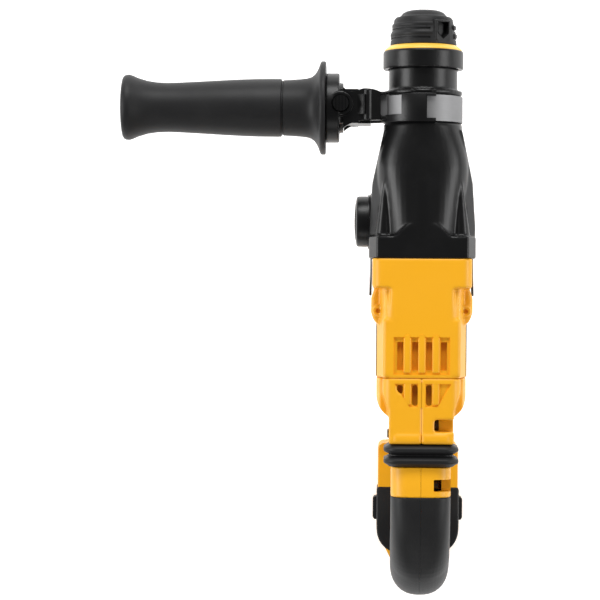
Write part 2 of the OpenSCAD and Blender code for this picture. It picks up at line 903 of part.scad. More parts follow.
// Guide rod screwed into the body; the handle rides over it with play.
module guide_rod() color("silver") {
    rod_y(2.5, -260.5, -288, guide_z);
    rod_y(4.6, -286, -288, guide_z);
}

// ---------------------------------------------------------------- side handle

// Everything below is turned about the handle's own axis, which lies along -X at this station.
side_y = -55.5;

button_x = -51.8; // centre of the depth stop button

// Outer radius of the side handle against distance from the spindle axis.
side_profile = [[61.5, 12], [61.5, 29.7], [66, 29.7], [68, 27], [71, 23.4], [75, 20.4],
    [80, 18.2], [88.6, 17.4], [89, side_grip_r], [105, 18.3], [125, 17.5], [145, 16.3], [164, 15.6],
    [173, 16.2],
    [181, 18.6], [186, 20.8], [189.4, 20.4], [side_reach, 18.5]];

// Child axis +Z is laid along -X, starting at the spindle axis.
module outward() {
    translate([0, side_y, 0]) rotate([0, -90, 0]) children();
}

module side_grip() color([0.14, 0.14, 0.14])
    difference() {
        outward() rotate_extrude($fn = 96)
            polygon(concat([[0, 61.5], [0, side_reach]], [for (i = [len(side_profile) - 1 : -1 : 0])
                [side_profile[i][1], side_profile[i][0]]]));
        outward() translate([0, 0, 50]) cylinder(r = 12.02, h = 135);
    }

// Plastic core with the nut that the clamp bolt screws into.
module side_grip_core() color([0.2, 0.2, 0.2])
    difference() {
        outward() translate([0, 0, 61.5]) cylinder(r = 12, h = 123.2);
        outward() translate([0, 0, 50]) cylinder(r = 4 + fit, h = 62);
        outward() translate([0, 0, 120]) cylinder(r = 9, h = 60);
    }

module clamp_bolt() color("silver")
    outward() {
        translate([0, 0, 36]) cylinder(r = 7, h = 4, $fn = 6);
        translate([0, 0, 39]) cylinder(r = 4, h = 66);
    }

// Plastic saddle on the collar with the arm that carries the depth stop and the yoke for the bolt.
module clamp_carrier() color([0.13, 0.13, 0.13])
    difference() {
        union() {
            outward() translate([0, 0, 50.5]) cylinder(r = 15.8, h = 3);
            outward() translate([0, 0, 53]) cylinder(r = 22, h = 8.2);
            box(-53.5, -40.6, -66, -44.5, -19, 15);
            translate([button_x, -54, 0]) cylinder(r = 7.4, h = 21);
            box(-41, -33, -66, -63.6, -12, 12);
            box(-41, -33, -47, -44.5, -12, 12);
        }
        outward() translate([0, 0, 30]) cylinder(r = 4.3, h = 40);
        translate([0, side_y, 0]) rod_x(7.6, -42.4, -30, 0, 0);
        rod_y(4.05, -40, -70, -13.2, -46.8);
        translate([button_x, -54, 13]) cylinder(r = 5.3, h = 20);
    }

// Push button that frees the depth rod.
module depth_stop_button() color([0.1, 0.1, 0.1])
    translate([button_x, -54, 16.4]) difference() {
        cylinder(r = 5, h = 7);
        for (x = [-3 : 2 : 3]) translate([x, 0, 7]) cube([0.8, 12, 1], center = true);
    }

// Steel strap that grips the collar, with its two ears hooked into the yoke.
module clamp_band() color("gray")
    difference() {
        union() {
            tube_y(25.1, collar_r + fit, -48.6, -65);
            for (s = [-1, 1]) {
                box(-34.6, -14, -62.8, -47.8, s > 0 ? 9.5 : -11.1, s > 0 ? 11.1 : -9.5);
                box(-36, -34, -62.8, -47.8, s > 0 ? 8 : -11.1, s > 0 ? 11.1 : -8);
            }
        }
        rod_y(collar_r + fit, -40, -70);
    }

tool_spindle();
dust_cap();
nose_circlip();
accent_ring();
chuck_sleeve();
lock_ring();
sleeve_spring();
locking_ball_left();
locking_ball_right();
spindle_bearing();
spindle_bush();
spindle_gear();
beat_piece();
striker();
piston();
piston_trunnion();
wobble_ring();
wobble_hub();
intermediate_shaft();
mode_clutch();
shaft_bearings();
gearcase();
bearing_plate();
flange_screws();
selector_knob();
selector_shaft();
selector_bezel();
shift_fork();
motor_housing();
stator_core();
stator_coils();
rotor();
cooling_fan();
motor_bearings();
motor_end_cap();
controller();
rear_shell_left();
rear_shell_right();
body_screws();
direction_bar();
bellows();
damper_springs();
guide_rod();
handle_shell_left();
handle_shell_right();
handle_grip_left();
handle_grip_right();
handle_screws();
trigger();
trigger_switch();
pivot_pin();
foot_pad_left();
foot_pad_right();
terminal_block();
clamp_band();
clamp_carrier();
depth_stop_button();
side_grip();
side_grip_core();
clamp_bolt();
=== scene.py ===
# %% [markdown]
# # A cordless rotary hammer, modelled piece by piece
# The mechanical model is already made and packed: every gear, shaft and shell has its place and its body.
# Here the outside of the tool gets its real surfaces, and every piece gets its finish. The first cell loads
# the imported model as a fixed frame, so nothing has to be fitted by eye: a piece goes where the frame says.

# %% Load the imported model
import json
import math
import bmesh
import bpy
from mathutils import Matrix, Vector


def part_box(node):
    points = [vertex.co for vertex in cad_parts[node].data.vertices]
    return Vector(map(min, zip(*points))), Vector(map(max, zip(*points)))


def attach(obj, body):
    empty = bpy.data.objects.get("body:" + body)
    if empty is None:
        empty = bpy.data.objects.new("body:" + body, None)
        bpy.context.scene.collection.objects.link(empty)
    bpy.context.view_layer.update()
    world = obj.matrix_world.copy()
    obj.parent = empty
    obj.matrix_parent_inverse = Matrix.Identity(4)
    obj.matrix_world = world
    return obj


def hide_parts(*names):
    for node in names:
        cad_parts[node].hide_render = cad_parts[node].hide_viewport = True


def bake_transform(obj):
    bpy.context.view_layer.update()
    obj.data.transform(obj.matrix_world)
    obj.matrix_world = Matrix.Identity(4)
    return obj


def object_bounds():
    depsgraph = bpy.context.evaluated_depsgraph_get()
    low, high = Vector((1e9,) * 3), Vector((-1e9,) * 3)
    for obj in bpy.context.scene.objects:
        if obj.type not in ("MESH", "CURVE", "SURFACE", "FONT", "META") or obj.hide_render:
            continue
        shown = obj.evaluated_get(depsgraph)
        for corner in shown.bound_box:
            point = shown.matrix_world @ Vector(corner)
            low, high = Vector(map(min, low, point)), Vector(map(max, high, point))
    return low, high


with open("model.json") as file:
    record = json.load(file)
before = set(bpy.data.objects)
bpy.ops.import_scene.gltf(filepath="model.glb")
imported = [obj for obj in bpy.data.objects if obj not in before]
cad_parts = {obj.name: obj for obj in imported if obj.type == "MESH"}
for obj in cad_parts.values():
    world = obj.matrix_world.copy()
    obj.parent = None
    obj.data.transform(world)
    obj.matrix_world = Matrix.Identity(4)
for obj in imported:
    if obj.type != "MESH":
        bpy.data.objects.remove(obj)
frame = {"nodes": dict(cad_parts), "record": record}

cad_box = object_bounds()
scene = bpy.context.scene
MM = 0.001
print("overall size in mm:", [round((b - a) * 1000, 1) for a, b in zip(*cad_box)])

# %% [markdown]
# ## Camera and light first
# The tool is seen from straight above, from about a metre and a half, with a long lens, so that the picture
# hardly bends. The camera stands a little to the side of the tool and is turned towards the middle of the
# view, instead of using a lens shift.

# %% Camera above the tool
camera_data = bpy.data.cameras.new("long_lens")
camera = bpy.data.objects.new("camera_above", camera_data)
scene.collection.objects.link(camera)
scene.camera = camera
camera_data.sensor_width = 36
HALF_VIEW, DISTANCE = 1, 8  # the view reaches one part to each side for every eight parts of distance
camera_data.angle = 2 * math.atan(HALF_VIEW / DISTANCE)
camera_data.clip_end = 50
eye = Vector((-0.0225, -0.1775, 1.524))
target = Vector((-0.0772, -0.1775, 0.0))
look = (eye - target).normalized()
TILT = math.radians(0.4)
upwards = Vector((-math.sin(TILT), math.cos(TILT), 0))
sideways = upwards.cross(look).normalized()
upwards = look.cross(sideways)
camera.matrix_world = Matrix.Translation(eye) @ Matrix((sideways, upwards, look)).transposed().to_4x4()
print("lens in mm:", round(camera_data.lens, 1))

# %% [markdown]
# Black plastic shows its shape only by what it mirrors, and yellow plastic by how evenly it is lit. Large soft
# panels round the sides light both: they draw pale edges along every rounded black side and leave the top
# faces calm. A big panel overhead would wash the black out, so the light from above is only a weak sky.

# %% Panels and sky
AIM = Vector((0, -0.18, -0.05))
SKY_STRENGTH = 0.10


def soft_panel(name, place, size, power):
    """A rectangular area lamp at place, in metres, turned to face the middle of the tool."""
    lamp = bpy.data.lights.new(name, "AREA")
    lamp.shape = "RECTANGLE"
    lamp.size, lamp.size_y = size
    lamp.energy = power
    holder = bpy.data.objects.new(name, lamp)
    scene.collection.objects.link(holder)
    away = Vector(place) - AIM
    holder.matrix_world = Matrix.Translation(place) @ away.to_track_quat("Z", "Y").to_matrix().to_4x4()


soft_panel("panel_left", (-2.3, -0.2, 1.25), (2.0, 1.1), 50)
soft_panel("panel_right", (2.3, -0.2, 1.25), (2.0, 1.1), 42)
soft_panel("panel_front", (0.0, 2.1, 1.35), (2.0, 1.0), 52)
soft_panel("panel_back", (0.0, -2.6, 1.35), (2.0, 1.0), 9)
sky = bpy.data.worlds.new("pale_studio")
scene.world = sky
sky.use_nodes = True
sky.node_tree.nodes["Background"].inputs["Color"].default_value = (1, 1, 1, 1)
sky.node_tree.nodes["Background"].inputs["Strength"].default_value = SKY_STRENGTH
scene.view_settings.view_transform = "Standard"
scene.view_settings.look = "None"

# %% [markdown]
# ## Finishes
# Each finish is a Principled shader, fed by a few shared effects. An effect used by several finishes is a
# node group with named inputs and outputs, so that a mould grain is made once and placed with its own scale.
# The patterns read Object coordinates, which run in metres, so their scales are large numbers.

# %% Helpers for node trees
def node(tree, kind, x=0, y=0, **settings):
    made = tree.nodes.new(kind)
    made.location = (x, y)
    for key, value in settings.items():
        setattr(made, key, value)
    return made


def effect(name, inputs, outputs):
    """An empty node group with float inputs {name: default} and outputs {name: socket type}."""
    group = bpy.data.node_groups.new(name, "ShaderNodeTree")
    for label, default in inputs.items():
        socket = group.interface.new_socket(name=label, in_out="INPUT", socket_type="NodeSocketFloat")
        socket.default_value = default
    for label, kind in outputs.items():
        group.interface.new_socket(name=label, in_out="OUTPUT", socket_type=kind)
    start = node(group, "NodeGroupInput", -800)
    end = node(group, "NodeGroupOutput", 600)
    return group, start, end


# %% [markdown]
# ### Mould grain
# Moulds for power tools are spark-eroded, which leaves a fine, even orange-peel on the plastic. A noise of
# about half a millimetre, with a finer one on top, gives the Height for a Bump node. The same noise drives a
# slight change of roughness, as on a real textured moulding.

# %% Mould grain group
grain, g_in, g_out = effect("mould_grain", {"Scale": 1800.0, "Fine": 0.5, "Roughness": 0.5, "Spread": 0.08},
                            {"Height": "NodeSocketFloat", "Roughness": "NodeSocketFloat"})
coords = node(grain, "ShaderNodeTexCoord", -800, -250)
coarse = node(grain, "ShaderNodeTexNoise", -500, 100)
coarse.inputs["Detail"].default_value = 2.0
finer = node(grain, "ShaderNodeTexVoronoi", -500, -200)
triple = node(grain, "ShaderNodeMath", -680, -120, operation="MULTIPLY")
triple.inputs[1].default_value = 1.7
share = node(grain, "ShaderNodeMath", -250, -150, operation="MULTIPLY")
both = node(grain, "ShaderNodeMath", -50, 0, operation="ADD")
spread = node(grain, "ShaderNodeMapRange", 250, -200)
half_down = node(grain, "ShaderNodeMath", 50, -300, operation="SUBTRACT")
half_up = node(grain, "ShaderNodeMath", 50, -450, operation="ADD")
patches = node(grain, "ShaderNodeTexNoise", -500, -500)
patches.inputs["Scale"].default_value = 28.0
patches.inputs["Detail"].default_value = 4.0
link = grain.links.new
link(coords.outputs["Object"], coarse.inputs["Vector"])
link(coords.outputs["Object"], finer.inputs["Vector"])
link(coords.outputs["Object"], patches.inputs["Vector"])
link(g_in.outputs["Scale"], coarse.inputs["Scale"])
link(g_in.outputs["Scale"], triple.inputs[0])
link(triple.outputs[0], finer.inputs["Scale"])
link(finer.outputs["Distance"], share.inputs[0])
link(g_in.outputs["Fine"], share.inputs[1])
link(coarse.outputs["Fac"], both.inputs[0])
link(share.outputs[0], both.inputs[1])
link(both.outputs[0], g_out.inputs["Height"])
link(g_in.outputs["Roughness"], half_down.inputs[0])
link(g_in.outputs["Spread"], half_down.inputs[1])
link(g_in.outputs["Roughness"], half_up.inputs[0])
link(g_in.outputs["Spread"], half_up.inputs[1])
link(patches.outputs["Fac"], spread.inputs["Value"])
link(half_down.outputs[0], spread.inputs["To Min"])
link(half_up.outputs[0], spread.inputs["To Max"])
link(spread.outputs["Result"], g_out.inputs["Roughness"])
print("group:", grain.name)

# %% [markdown]
# ### Handling marks
# A tool that has been picked up has slightly polished edges and faint dull patches where hands and dust have
# been. Pointiness finds the edges, and a broad noise breaks them up, so the mask is never an even line. It
# mixes a worn shade into the base colour by a small amount.

# %% Handling marks group
marks, m_in, m_out = effect("handling_marks", {"Edge": 0.5, "Patch": 0.3, "Scale": 45.0},
                            {"Edges": "NodeSocketFloat", "Patches": "NodeSocketFloat"})
m_coords = node(marks, "ShaderNodeTexCoord", -800, -200)
shape = node(marks, "ShaderNodeNewGeometry", -800, 200)
sharp = node(marks, "ShaderNodeMapRange", -550, 200)
sharp.inputs["From Min"].default_value = 0.52
sharp.inputs["From Max"].default_value = 0.62
breakup = node(marks, "ShaderNodeTexNoise", -550, -100)
breakup.inputs["Detail"].default_value = 5.0
breakup.inputs["Roughness"].default_value = 0.6
edge_part = node(marks, "ShaderNodeMath", -300, 200, operation="MULTIPLY")
edge_mask = node(marks, "ShaderNodeMath", -100, 200, operation="MULTIPLY")
patch_range = node(marks, "ShaderNodeMapRange", -300, -100)
patch_range.inputs["From Min"].default_value = 0.45
patch_range.inputs["From Max"].default_value = 0.75
patch_mask = node(marks, "ShaderNodeMath", -100, -100, operation="MULTIPLY")
link = marks.links.new
link(m_coords.outputs["Object"], breakup.inputs["Vector"])
link(m_in.outputs["Scale"], breakup.inputs["Scale"])
link(shape.outputs["Pointiness"], sharp.inputs["Value"])
link(sharp.outputs["Result"], edge_part.inputs[0])
link(breakup.outputs["Fac"], edge_part.inputs[1])
link(edge_part.outputs[0], edge_mask.inputs[0])
link(m_in.outputs["Edge"], edge_mask.inputs[1])
link(breakup.outputs["Fac"], patch_range.inputs["Value"])
link(patch_range.outputs["Result"], patch_mask.inputs[0])
link(m_in.outputs["Patch"], patch_mask.inputs[1])
link(edge_mask.outputs[0], m_out.inputs["Edges"])
link(patch_mask.outputs[0], m_out.inputs["Patches"])
print("group:", marks.name)

# %% [markdown]
# ### Machining marks
# Turned and ground steel has fine lines round its axis. Stretched noise gives them: the coordinates are
# squeezed along the turning axis, so that the noise runs in bands.

# %% Machining marks group
lathe, l_in, l_out = effect("machining_marks", {"Scale": 900.0, "Roughness": 0.3, "Spread": 0.1},
                            {"Height": "NodeSocketFloat", "Roughness": "NodeSocketFloat"})
l_coords = node(lathe, "ShaderNodeTexCoord", -900, 0)
squeeze = node(lathe, "ShaderNodeMapping", -700, 0)
squeeze.inputs["Scale"].default_value = (0.04, 1.0, 0.04)
lines = node(lathe, "ShaderNodeTexNoise", -450, 0)
lines.inputs["Detail"].default_value = 3.0
l_low = node(lathe, "ShaderNodeMath", -450, -300, operation="SUBTRACT")
l_high = node(lathe, "ShaderNodeMath", -450, -450, operation="ADD")
l_range = node(lathe, "ShaderNodeMapRange", -150, -200)
link = lathe.links.new
link(l_coords.outputs["Object"], squeeze.inputs["Vector"])
link(squeeze.outputs["Vector"], lines.inputs["Vector"])
link(l_in.outputs["Scale"], lines.inputs["Scale"])
link(l_in.outputs["Roughness"], l_low.inputs[0])
link(l_in.outputs["Spread"], l_low.inputs[1])
link(l_in.outputs["Roughness"], l_high.inputs[0])
link(l_in.outputs["Spread"], l_high.inputs[1])
link(lines.outputs["Fac"], l_range.inputs["Value"])
link(l_low.outputs[0], l_range.inputs["To Min"])
link(l_high.outputs[0], l_range.inputs["To Max"])
link(lines.outputs["Fac"], l_out.inputs["Height"])
link(l_range.outputs["Result"], l_out.inputs["Roughness"])
print("group:", lathe.name)

# %% [markdown]
# ### One recipe for plastics and rubber, one for metals
# All the mouldings are built the same way and differ in colour, gloss and grain, so a short function places
# the groups and sets their values. Numbers that are the same all over a surface, such as the specular level,
# are set on the shader itself.

# %% Plastic, rubber and metal recipes
def moulding(name, colour, worn, roughness, grain_scale, grain_depth, fine=0.5, edge=0.5, patch=0.3, specular=0.5):
    """Plastic or rubber: a base colour that wears to another one, over a moulded grain of the given depth in mm."""
    material = bpy.data.materials.new(name)
    material.use_nodes = True
    tree = material.node_tree
    shader = tree.nodes["Principled BSDF"]
    shader.inputs["Specular IOR Level"].default_value = specular
    peel = node(tree, "ShaderNodeGroup", -500, -200, node_tree=grain)
    peel.inputs["Scale"].default_value = grain_scale
    peel.inputs["Fine"].default_value = fine
    peel.inputs["Roughness"].default_value = roughness
    peel.inputs["Spread"].default_value = 0.06
    wear = node(tree, "ShaderNodeGroup", -900, 200, node_tree=marks)
    wear.inputs["Edge"].default_value = edge
    wear.inputs["Patch"].default_value = patch
    add = node(tree, "ShaderNodeMath", -700, 200, operation="ADD", use_clamp=True)
    shade = node(tree, "ShaderNodeMix", -450, 250, data_type="RGBA")
    shade.inputs["A"].default_value = (*colour, 1)
    shade.inputs["B"].default_value = (*worn, 1)
    bump = node(tree, "ShaderNodeBump", -250, -300)
    bump.inputs["Distance"].default_value = grain_depth * MM
    bump.inputs["Strength"].default_value = 1.0
    tree.links.new(wear.outputs["Edges"], add.inputs[0])
    tree.links.new(wear.outputs["Patches"], add.inputs[1])
    tree.links.new(add.outputs[0], shade.inputs["Factor"])
    tree.links.new(shade.outputs["Result"], shader.inputs["Base Color"])
    tree.links.new(peel.outputs["Roughness"], shader.inputs["Roughness"])
    tree.links.new(peel.outputs["Height"], bump.inputs["Height"])
    tree.links.new(bump.outputs["Normal"], shader.inputs["Normal"])
    return material


def metal(name, colour, stain, roughness, scale, depth, spread=0.1):
    """Metal: a colour with faint stains over fine machining lines of the given depth in mm."""
    material = bpy.data.materials.new(name)
    material.use_nodes = True
    tree = material.node_tree
    shader = tree.nodes["Principled BSDF"]
    shader.inputs["Metallic"].default_value = 1.0
    ground = node(tree, "ShaderNodeGroup", -500, -200, node_tree=lathe)
    ground.inputs["Scale"].default_value = scale
    ground.inputs["Roughness"].default_value = roughness
    ground.inputs["Spread"].default_value = spread
    wear = node(tree, "ShaderNodeGroup", -900, 200, node_tree=marks)
    wear.inputs["Edge"].default_value = 0.0
    wear.inputs["Patch"].default_value = 0.4
    shade = node(tree, "ShaderNodeMix", -450, 250, data_type="RGBA")
    shade.inputs["A"].default_value = (*colour, 1)
    shade.inputs["B"].default_value = (*stain, 1)
    bump = node(tree, "ShaderNodeBump", -250, -300)
    bump.inputs["Distance"].default_value = depth * MM
    tree.links.new(wear.outputs["Patches"], shade.inputs["Factor"])
    tree.links.new(shade.outputs["Result"], shader.inputs["Base Color"])
    tree.links.new(ground.outputs["Roughness"], shader.inputs["Roughness"])
    tree.links.new(ground.outputs["Height"], bump.inputs["Height"])
    tree.links.new(bump.outputs["Normal"], shader.inputs["Normal"])
    return material


# %% [markdown]
# The finishes themselves. The yellow is a warm amber, the black of the gearcase is slightly shiny from its
# glass filling, and the grips are a softer, duller black. The strap of the side handle is bead-blasted steel.

# %% All finishes, by the record's slot names
finish = {
    "yellow_plastic": moulding("amber_shell_plastic", (0.90, 0.42, 0.007), (0.78, 0.34, 0.010), 0.44, 1500, 0.025,
                               patch=0.15, edge=0.1),
    "accent_plastic": moulding("pale_ring_plastic", (0.95, 0.56, 0.07), (0.9, 0.5, 0.05), 0.3, 900, 0.008, patch=0.1,
                               edge=0.1),
    "black_plastic": moulding("black_nylon", (0.0045, 0.0045, 0.0047), (0.016, 0.016, 0.0165), 0.34, 1700, 0.022,
                              specular=0.34),
    "gloss_black": moulding("smooth_black_plastic", (0.004, 0.004, 0.0042), (0.014, 0.014, 0.014), 0.26, 1400, 0.008,
                            specular=0.4),
    "case_black": moulding("glass_filled_nylon", (0.0042, 0.0042, 0.0044), (0.015, 0.015, 0.0155), 0.33, 1600, 0.022,
                           patch=0.25, specular=0.36),
    "black_rubber": moulding("soft_grip_rubber", (0.0105, 0.0105, 0.011), (0.022, 0.022, 0.0225), 0.5, 1300, 0.035,
                             fine=0.9, patch=0.4, specular=0.3),
    "steel": metal("ground_steel", (0.56, 0.56, 0.57), (0.36, 0.35, 0.33), 0.28, 1100, 0.004),
    "dark_steel": metal("black_oxide_steel", (0.055, 0.055, 0.06), (0.11, 0.10, 0.09), 0.38, 900, 0.004),
    "band_steel": metal("bead_blasted_steel", (0.30, 0.30, 0.304), (0.23, 0.23, 0.23), 0.6, 1500, 0.012, spread=0.05),
    "bronze": metal("sintered_bronze", (0.52, 0.33, 0.14), (0.32, 0.2, 0.1), 0.42, 1600, 0.01),
    "copper": metal("enamelled_copper", (0.66, 0.27, 0.11), (0.42, 0.16, 0.07), 0.3, 1900, 0.02),
    "laminated": metal("stamped_laminations", (0.26, 0.26, 0.28), (0.17, 0.16, 0.15), 0.45, 2400, 0.03),
    "cast_alloy": metal("die_cast_alloy", (0.60, 0.61, 0.62), (0.42, 0.42, 0.42), 0.46, 1200, 0.015),
    "board": moulding("potted_circuit_board", (0.008, 0.045, 0.02), (0.02, 0.08, 0.04), 0.3, 1200, 0.02),
}
print("finishes:", ", ".join(m.name for m in finish.values()))

# %% [markdown]
# ## Pieces that keep their mechanical shape
# Gears, bearings, shafts, screws and the like are already right as they were engineered. They only need
# their finish, which goes into the material slots of the frame's own objects.

# %% Give the frame's nodes their finish
slot_of = {s["node"]: s["material_slot"] for s in frame["record"]["subparts"]}
for name, part in frame["nodes"].items():
    part.data.materials.clear()
    part.data.materials.append(finish[slot_of[name]])
print("finished nodes:", len(slot_of))

# %% [markdown]
# ## Tools for shaping
# All shaping below is in millimetres and ends with one scaling to metres. A few helpers cover most of the
# tool: a turned solid, a loft through outlines, a slab cut from a side outline, a bevelled block and a rod.

# %% Rings, lofts and turned solids
def rounded_outline(half_width, top, bottom, radius, steps=8):
    """Points (x, z) of an upright rounded rectangle, anticlockwise from the right side's top corner."""
    points = []
    corners = [(half_width - radius, top - radius, 0), (radius - half_width, top - radius, 90),
               (radius - half_width, bottom + radius, 180), (half_width - radius, bottom + radius, 270)]
    for x, z, start in corners:
        for i in range(steps + 1):
            turn = math.radians(start + 90 * i / steps)
            points.append((x + radius * math.cos(turn), z + radius * math.sin(turn)))
    return points


def across(y, outline):
    """An outline of (x, z) points stood upright across the tool at y."""
    return [(x, y, z) for x, z in outline]


def flow(points, per=6):
    """A smooth run (Catmull-Rom) through points of any size, with per steps between neighbours."""
    ends = [points[0], *points, points[-1]]
    run = []
    for a, b, c, d in zip(ends, ends[1:], ends[2:], ends[3:]):
        for i in range(per):
            t = i / per
            run.append(tuple(0.5 * (2 * q + (r - p) * t + (2 * p - 5 * q + 4 * r - s) * t * t
                                    + (3 * q - p - 3 * r + s) * t ** 3) for p, q, r, s in zip(a, b, c, d)))
    return run + [tuple(points[-1])]


def loft(rings):
    """A closed solid through rings of points: the end face is extruded again and again, and put in place."""
    bm = bmesh.new()
    order = [bm.verts.new(p) for p in rings[0]]
    top = start = bm.faces.new(order)
    for ring in rings[1:]:
        spots = [v.co.copy() for v in order]
        got = bmesh.ops.extrude_face_region(bm, geom=[top])["geom"]
        if top is not start:
            bmesh.ops.delete(bm, geom=[top], context="FACES_ONLY")
        top = next(f for f in got if isinstance(f, bmesh.types.BMFace))
        order = [min(top.verts, key=lambda v: (v.co - spot).length_squared) for spot in spots]
        for vert, spot in zip(order, ring):
            vert.co = spot
    bmesh.ops.recalc_face_normals(bm, faces=bm.faces)
    return bm


def turned(profile, steps=96, axis="Y", centre=(0, 0, 0)):
    """A solid turned about the Y or the -X axis from a closed profile of (radius, position along the axis)."""
    bm = bmesh.new()
    verts = [bm.verts.new((r, y, 0)) for r, y in profile]
    edges = [bm.edges.new((verts[i], verts[(i + 1) % len(verts)])) for i in range(len(verts))]
    bmesh.ops.spin(bm, geom=verts + edges, angle=2 * math.pi, steps=steps, axis=(0, 1, 0), cent=(0, 0, 0),
                   use_merge=True)
    bmesh.ops.remove_doubles(bm, verts=bm.verts, dist=0.0005)
    flat = [f for f in bm.faces if f.calc_area() < 1e-9]
    bmesh.ops.delete(bm, geom=flat, context="FACES")
    bmesh.ops.recalc_face_normals(bm, faces=bm.faces)
    if axis == "-X":
        bmesh.ops.rotate(bm, verts=bm.verts, cent=(0, 0, 0), matrix=Matrix.Rotation(math.radians(90), 3, "Z"))
    bmesh.ops.translate(bm, verts=bm.verts, vec=centre)
    return bm


# %% [markdown]
# Blocks, slabs and rods are the cutters and cores. A bevel on their edges is what makes a moulding look
# moulded, so the block and the slab take one as they are made.

# %% Blocks, slabs and rods
BEVEL_FROM = math.radians(30)


def soften(bm, radius):
    """Bevels every edge that bends by more than BEVEL_FROM."""
    sharp_edges = [e for e in bm.edges if len(e.link_faces) == 2 and e.calc_face_angle(0) > BEVEL_FROM]
    bmesh.ops.bevel(bm, geom=sharp_edges, offset=radius, offset_type="OFFSET", segments=3, profile=0.5,
                    affect="EDGES", material=-1, clamp_overlap=True)
    return bm


def block(x0, x1, y0, y1, z0, z1, radius=0.0):
    """A box between the given planes, with bevelled edges if a radius is given."""
    bm = bmesh.new()
    bmesh.ops.create_cube(bm, size=1)
    bmesh.ops.scale(bm, verts=bm.verts, vec=(abs(x1 - x0), abs(y1 - y0), abs(z1 - z0)))
    bmesh.ops.translate(bm, verts=bm.verts, vec=((x0 + x1) / 2, (y0 + y1) / 2, (z0 + z1) / 2))
    return soften(bm, radius) if radius else bm


def slab(outline, low, high, along="X", radius=0.0):
    """A plate cut from an outline: (y, z) swept along X, (x, y) swept along Z, or (x, z) swept along Y."""
    put = {"X": lambda a, b: (low, a, b), "Z": lambda a, b: (a, b, low), "Y": lambda a, b: (a, low, b)}[along]
    move = {"X": (high - low, 0, 0), "Z": (0, 0, high - low), "Y": (0, high - low, 0)}[along]
    bm = bmesh.new()
    face = bm.faces.new([bm.verts.new(put(a, b)) for a, b in outline])
    got = bmesh.ops.extrude_face_region(bm, geom=[face])["geom"]
    bmesh.ops.translate(bm, verts=[v for v in got if isinstance(v, bmesh.types.BMVert)], vec=move)
    bmesh.ops.recalc_face_normals(bm, faces=bm.faces)
    return soften(bm, radius) if radius else bm


def rod(start, end, r0, r1=None, segments=48):
    """A straight rod or cone between two points."""
    a, b = Vector(start), Vector(end)
    bm = bmesh.new()
    bmesh.ops.create_cone(bm, cap_ends=True, segments=segments, radius1=r0, radius2=r0 if r1 is None else r1,
                          depth=(b - a).length)
    turn = (b - a).to_track_quat("Z", "Y").to_matrix().to_4x4()
    bmesh.ops.transform(bm, verts=bm.verts, matrix=Matrix.Translation((a + b) / 2) @ turn)
    return bm


# %% [markdown]
# Joining and cutting is left to Blender's Boolean modifier. Where a moulding needs soft fillets all over, its
# rough solid is built from overlapping pieces, remade as an even fine net, and relaxed a little: every inner
# and outer corner then rounds as plastic does. Hollows and crisp holes are cut after that.

# %% Join, cut, remake and relax
def rough_object(bm):
    """A bmesh put into the scene as an object for a while, so that modifiers can work on it."""
    mesh = bpy.data.meshes.new("rough")
    bm.to_mesh(mesh)
    bm.free()
    made = bpy.data.objects.new("rough", mesh)
    scene.collection.objects.link(made)
    return made


def settled(obj):
    """The object's mesh with its modifiers applied, as a new bmesh. The object itself is removed."""
    bpy.context.view_layer.update()
    shown = obj.evaluated_get(bpy.context.evaluated_depsgraph_get())
    bm = bmesh.new()
    bm.from_mesh(shown.to_mesh())
    shown.to_mesh_clear()
    mesh = obj.data
    bpy.data.objects.remove(obj)
    bpy.data.meshes.remove(mesh)
    return bm


def combined(first, others, way="UNION"):
    """first joined with, or cut by, the others. Every bmesh is used up."""
    base = rough_object(first)
    helpers = []
    for other in others:
        helper = rough_object(other)
        helper.hide_render = True
        helpers.append(helper)
        modifier = base.modifiers.new("way", "BOOLEAN")
        modifier.operation = way
        modifier.object = helper
        modifier.solver = "MANIFOLD"
    made = settled(base)
    for helper in helpers:
        mesh = helper.data
        bpy.data.objects.remove(helper)
        bpy.data.meshes.remove(mesh)
    return made


def remade(bm, net, relax):
    """The same solid as an even net of squares, relaxed so that its corners round off."""
    base = rough_object(bm)
    skin = base.modifiers.new("net", "REMESH")
    skin.mode = "VOXEL"
    skin.voxel_size = net * 1.0
    ease = base.modifiers.new("relax", "SMOOTH")
    ease.factor = 0.5
    ease.iterations = relax
    return settled(base)


def halved(bm, side, gap):
    """The left (-1) or right (1) half of a solid, closed at the parting line and gap mm short of the middle."""
    part = bm.copy()
    everything = list(part.verts) + list(part.edges) + list(part.faces)
    bmesh.ops.bisect_plane(part, geom=everything, plane_co=(side * gap, 0, 0), plane_no=(-side, 0, 0),
                           clear_outer=True)
    rim = [e for e in part.edges if e.is_boundary]
    bmesh.ops.holes_fill(part, edges=rim, sides=0)
    bmesh.ops.recalc_face_normals(part, faces=part.faces)
    return part


SMOOTH_BELOW = math.radians(38)


def piece(name, bm, body, nodes, slot):
    """Turns a bmesh in millimetres into a finished piece that rides on a body, or on none if no body is given."""
    bmesh.ops.scale(bm, verts=bm.verts, vec=(MM, MM, MM))
    mesh = bpy.data.meshes.new(name)
    bm.to_mesh(mesh)
    bm.free()
    mesh.shade_smooth()
    mesh.set_sharp_from_angle(angle=SMOOTH_BELOW)
    made = bpy.data.objects.new(name, mesh)
    scene.collection.objects.link(made)
    mesh.materials.append(finish[slot])
    if nodes:
        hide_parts(*nodes)
    if body:
        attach(made, body)
    print(f"{name}: {len(mesh.polygons)} faces")
    return made


# %% [markdown]
# The floor lies half a millimetre under the tool. It glows faintly, so that it stays an even white.

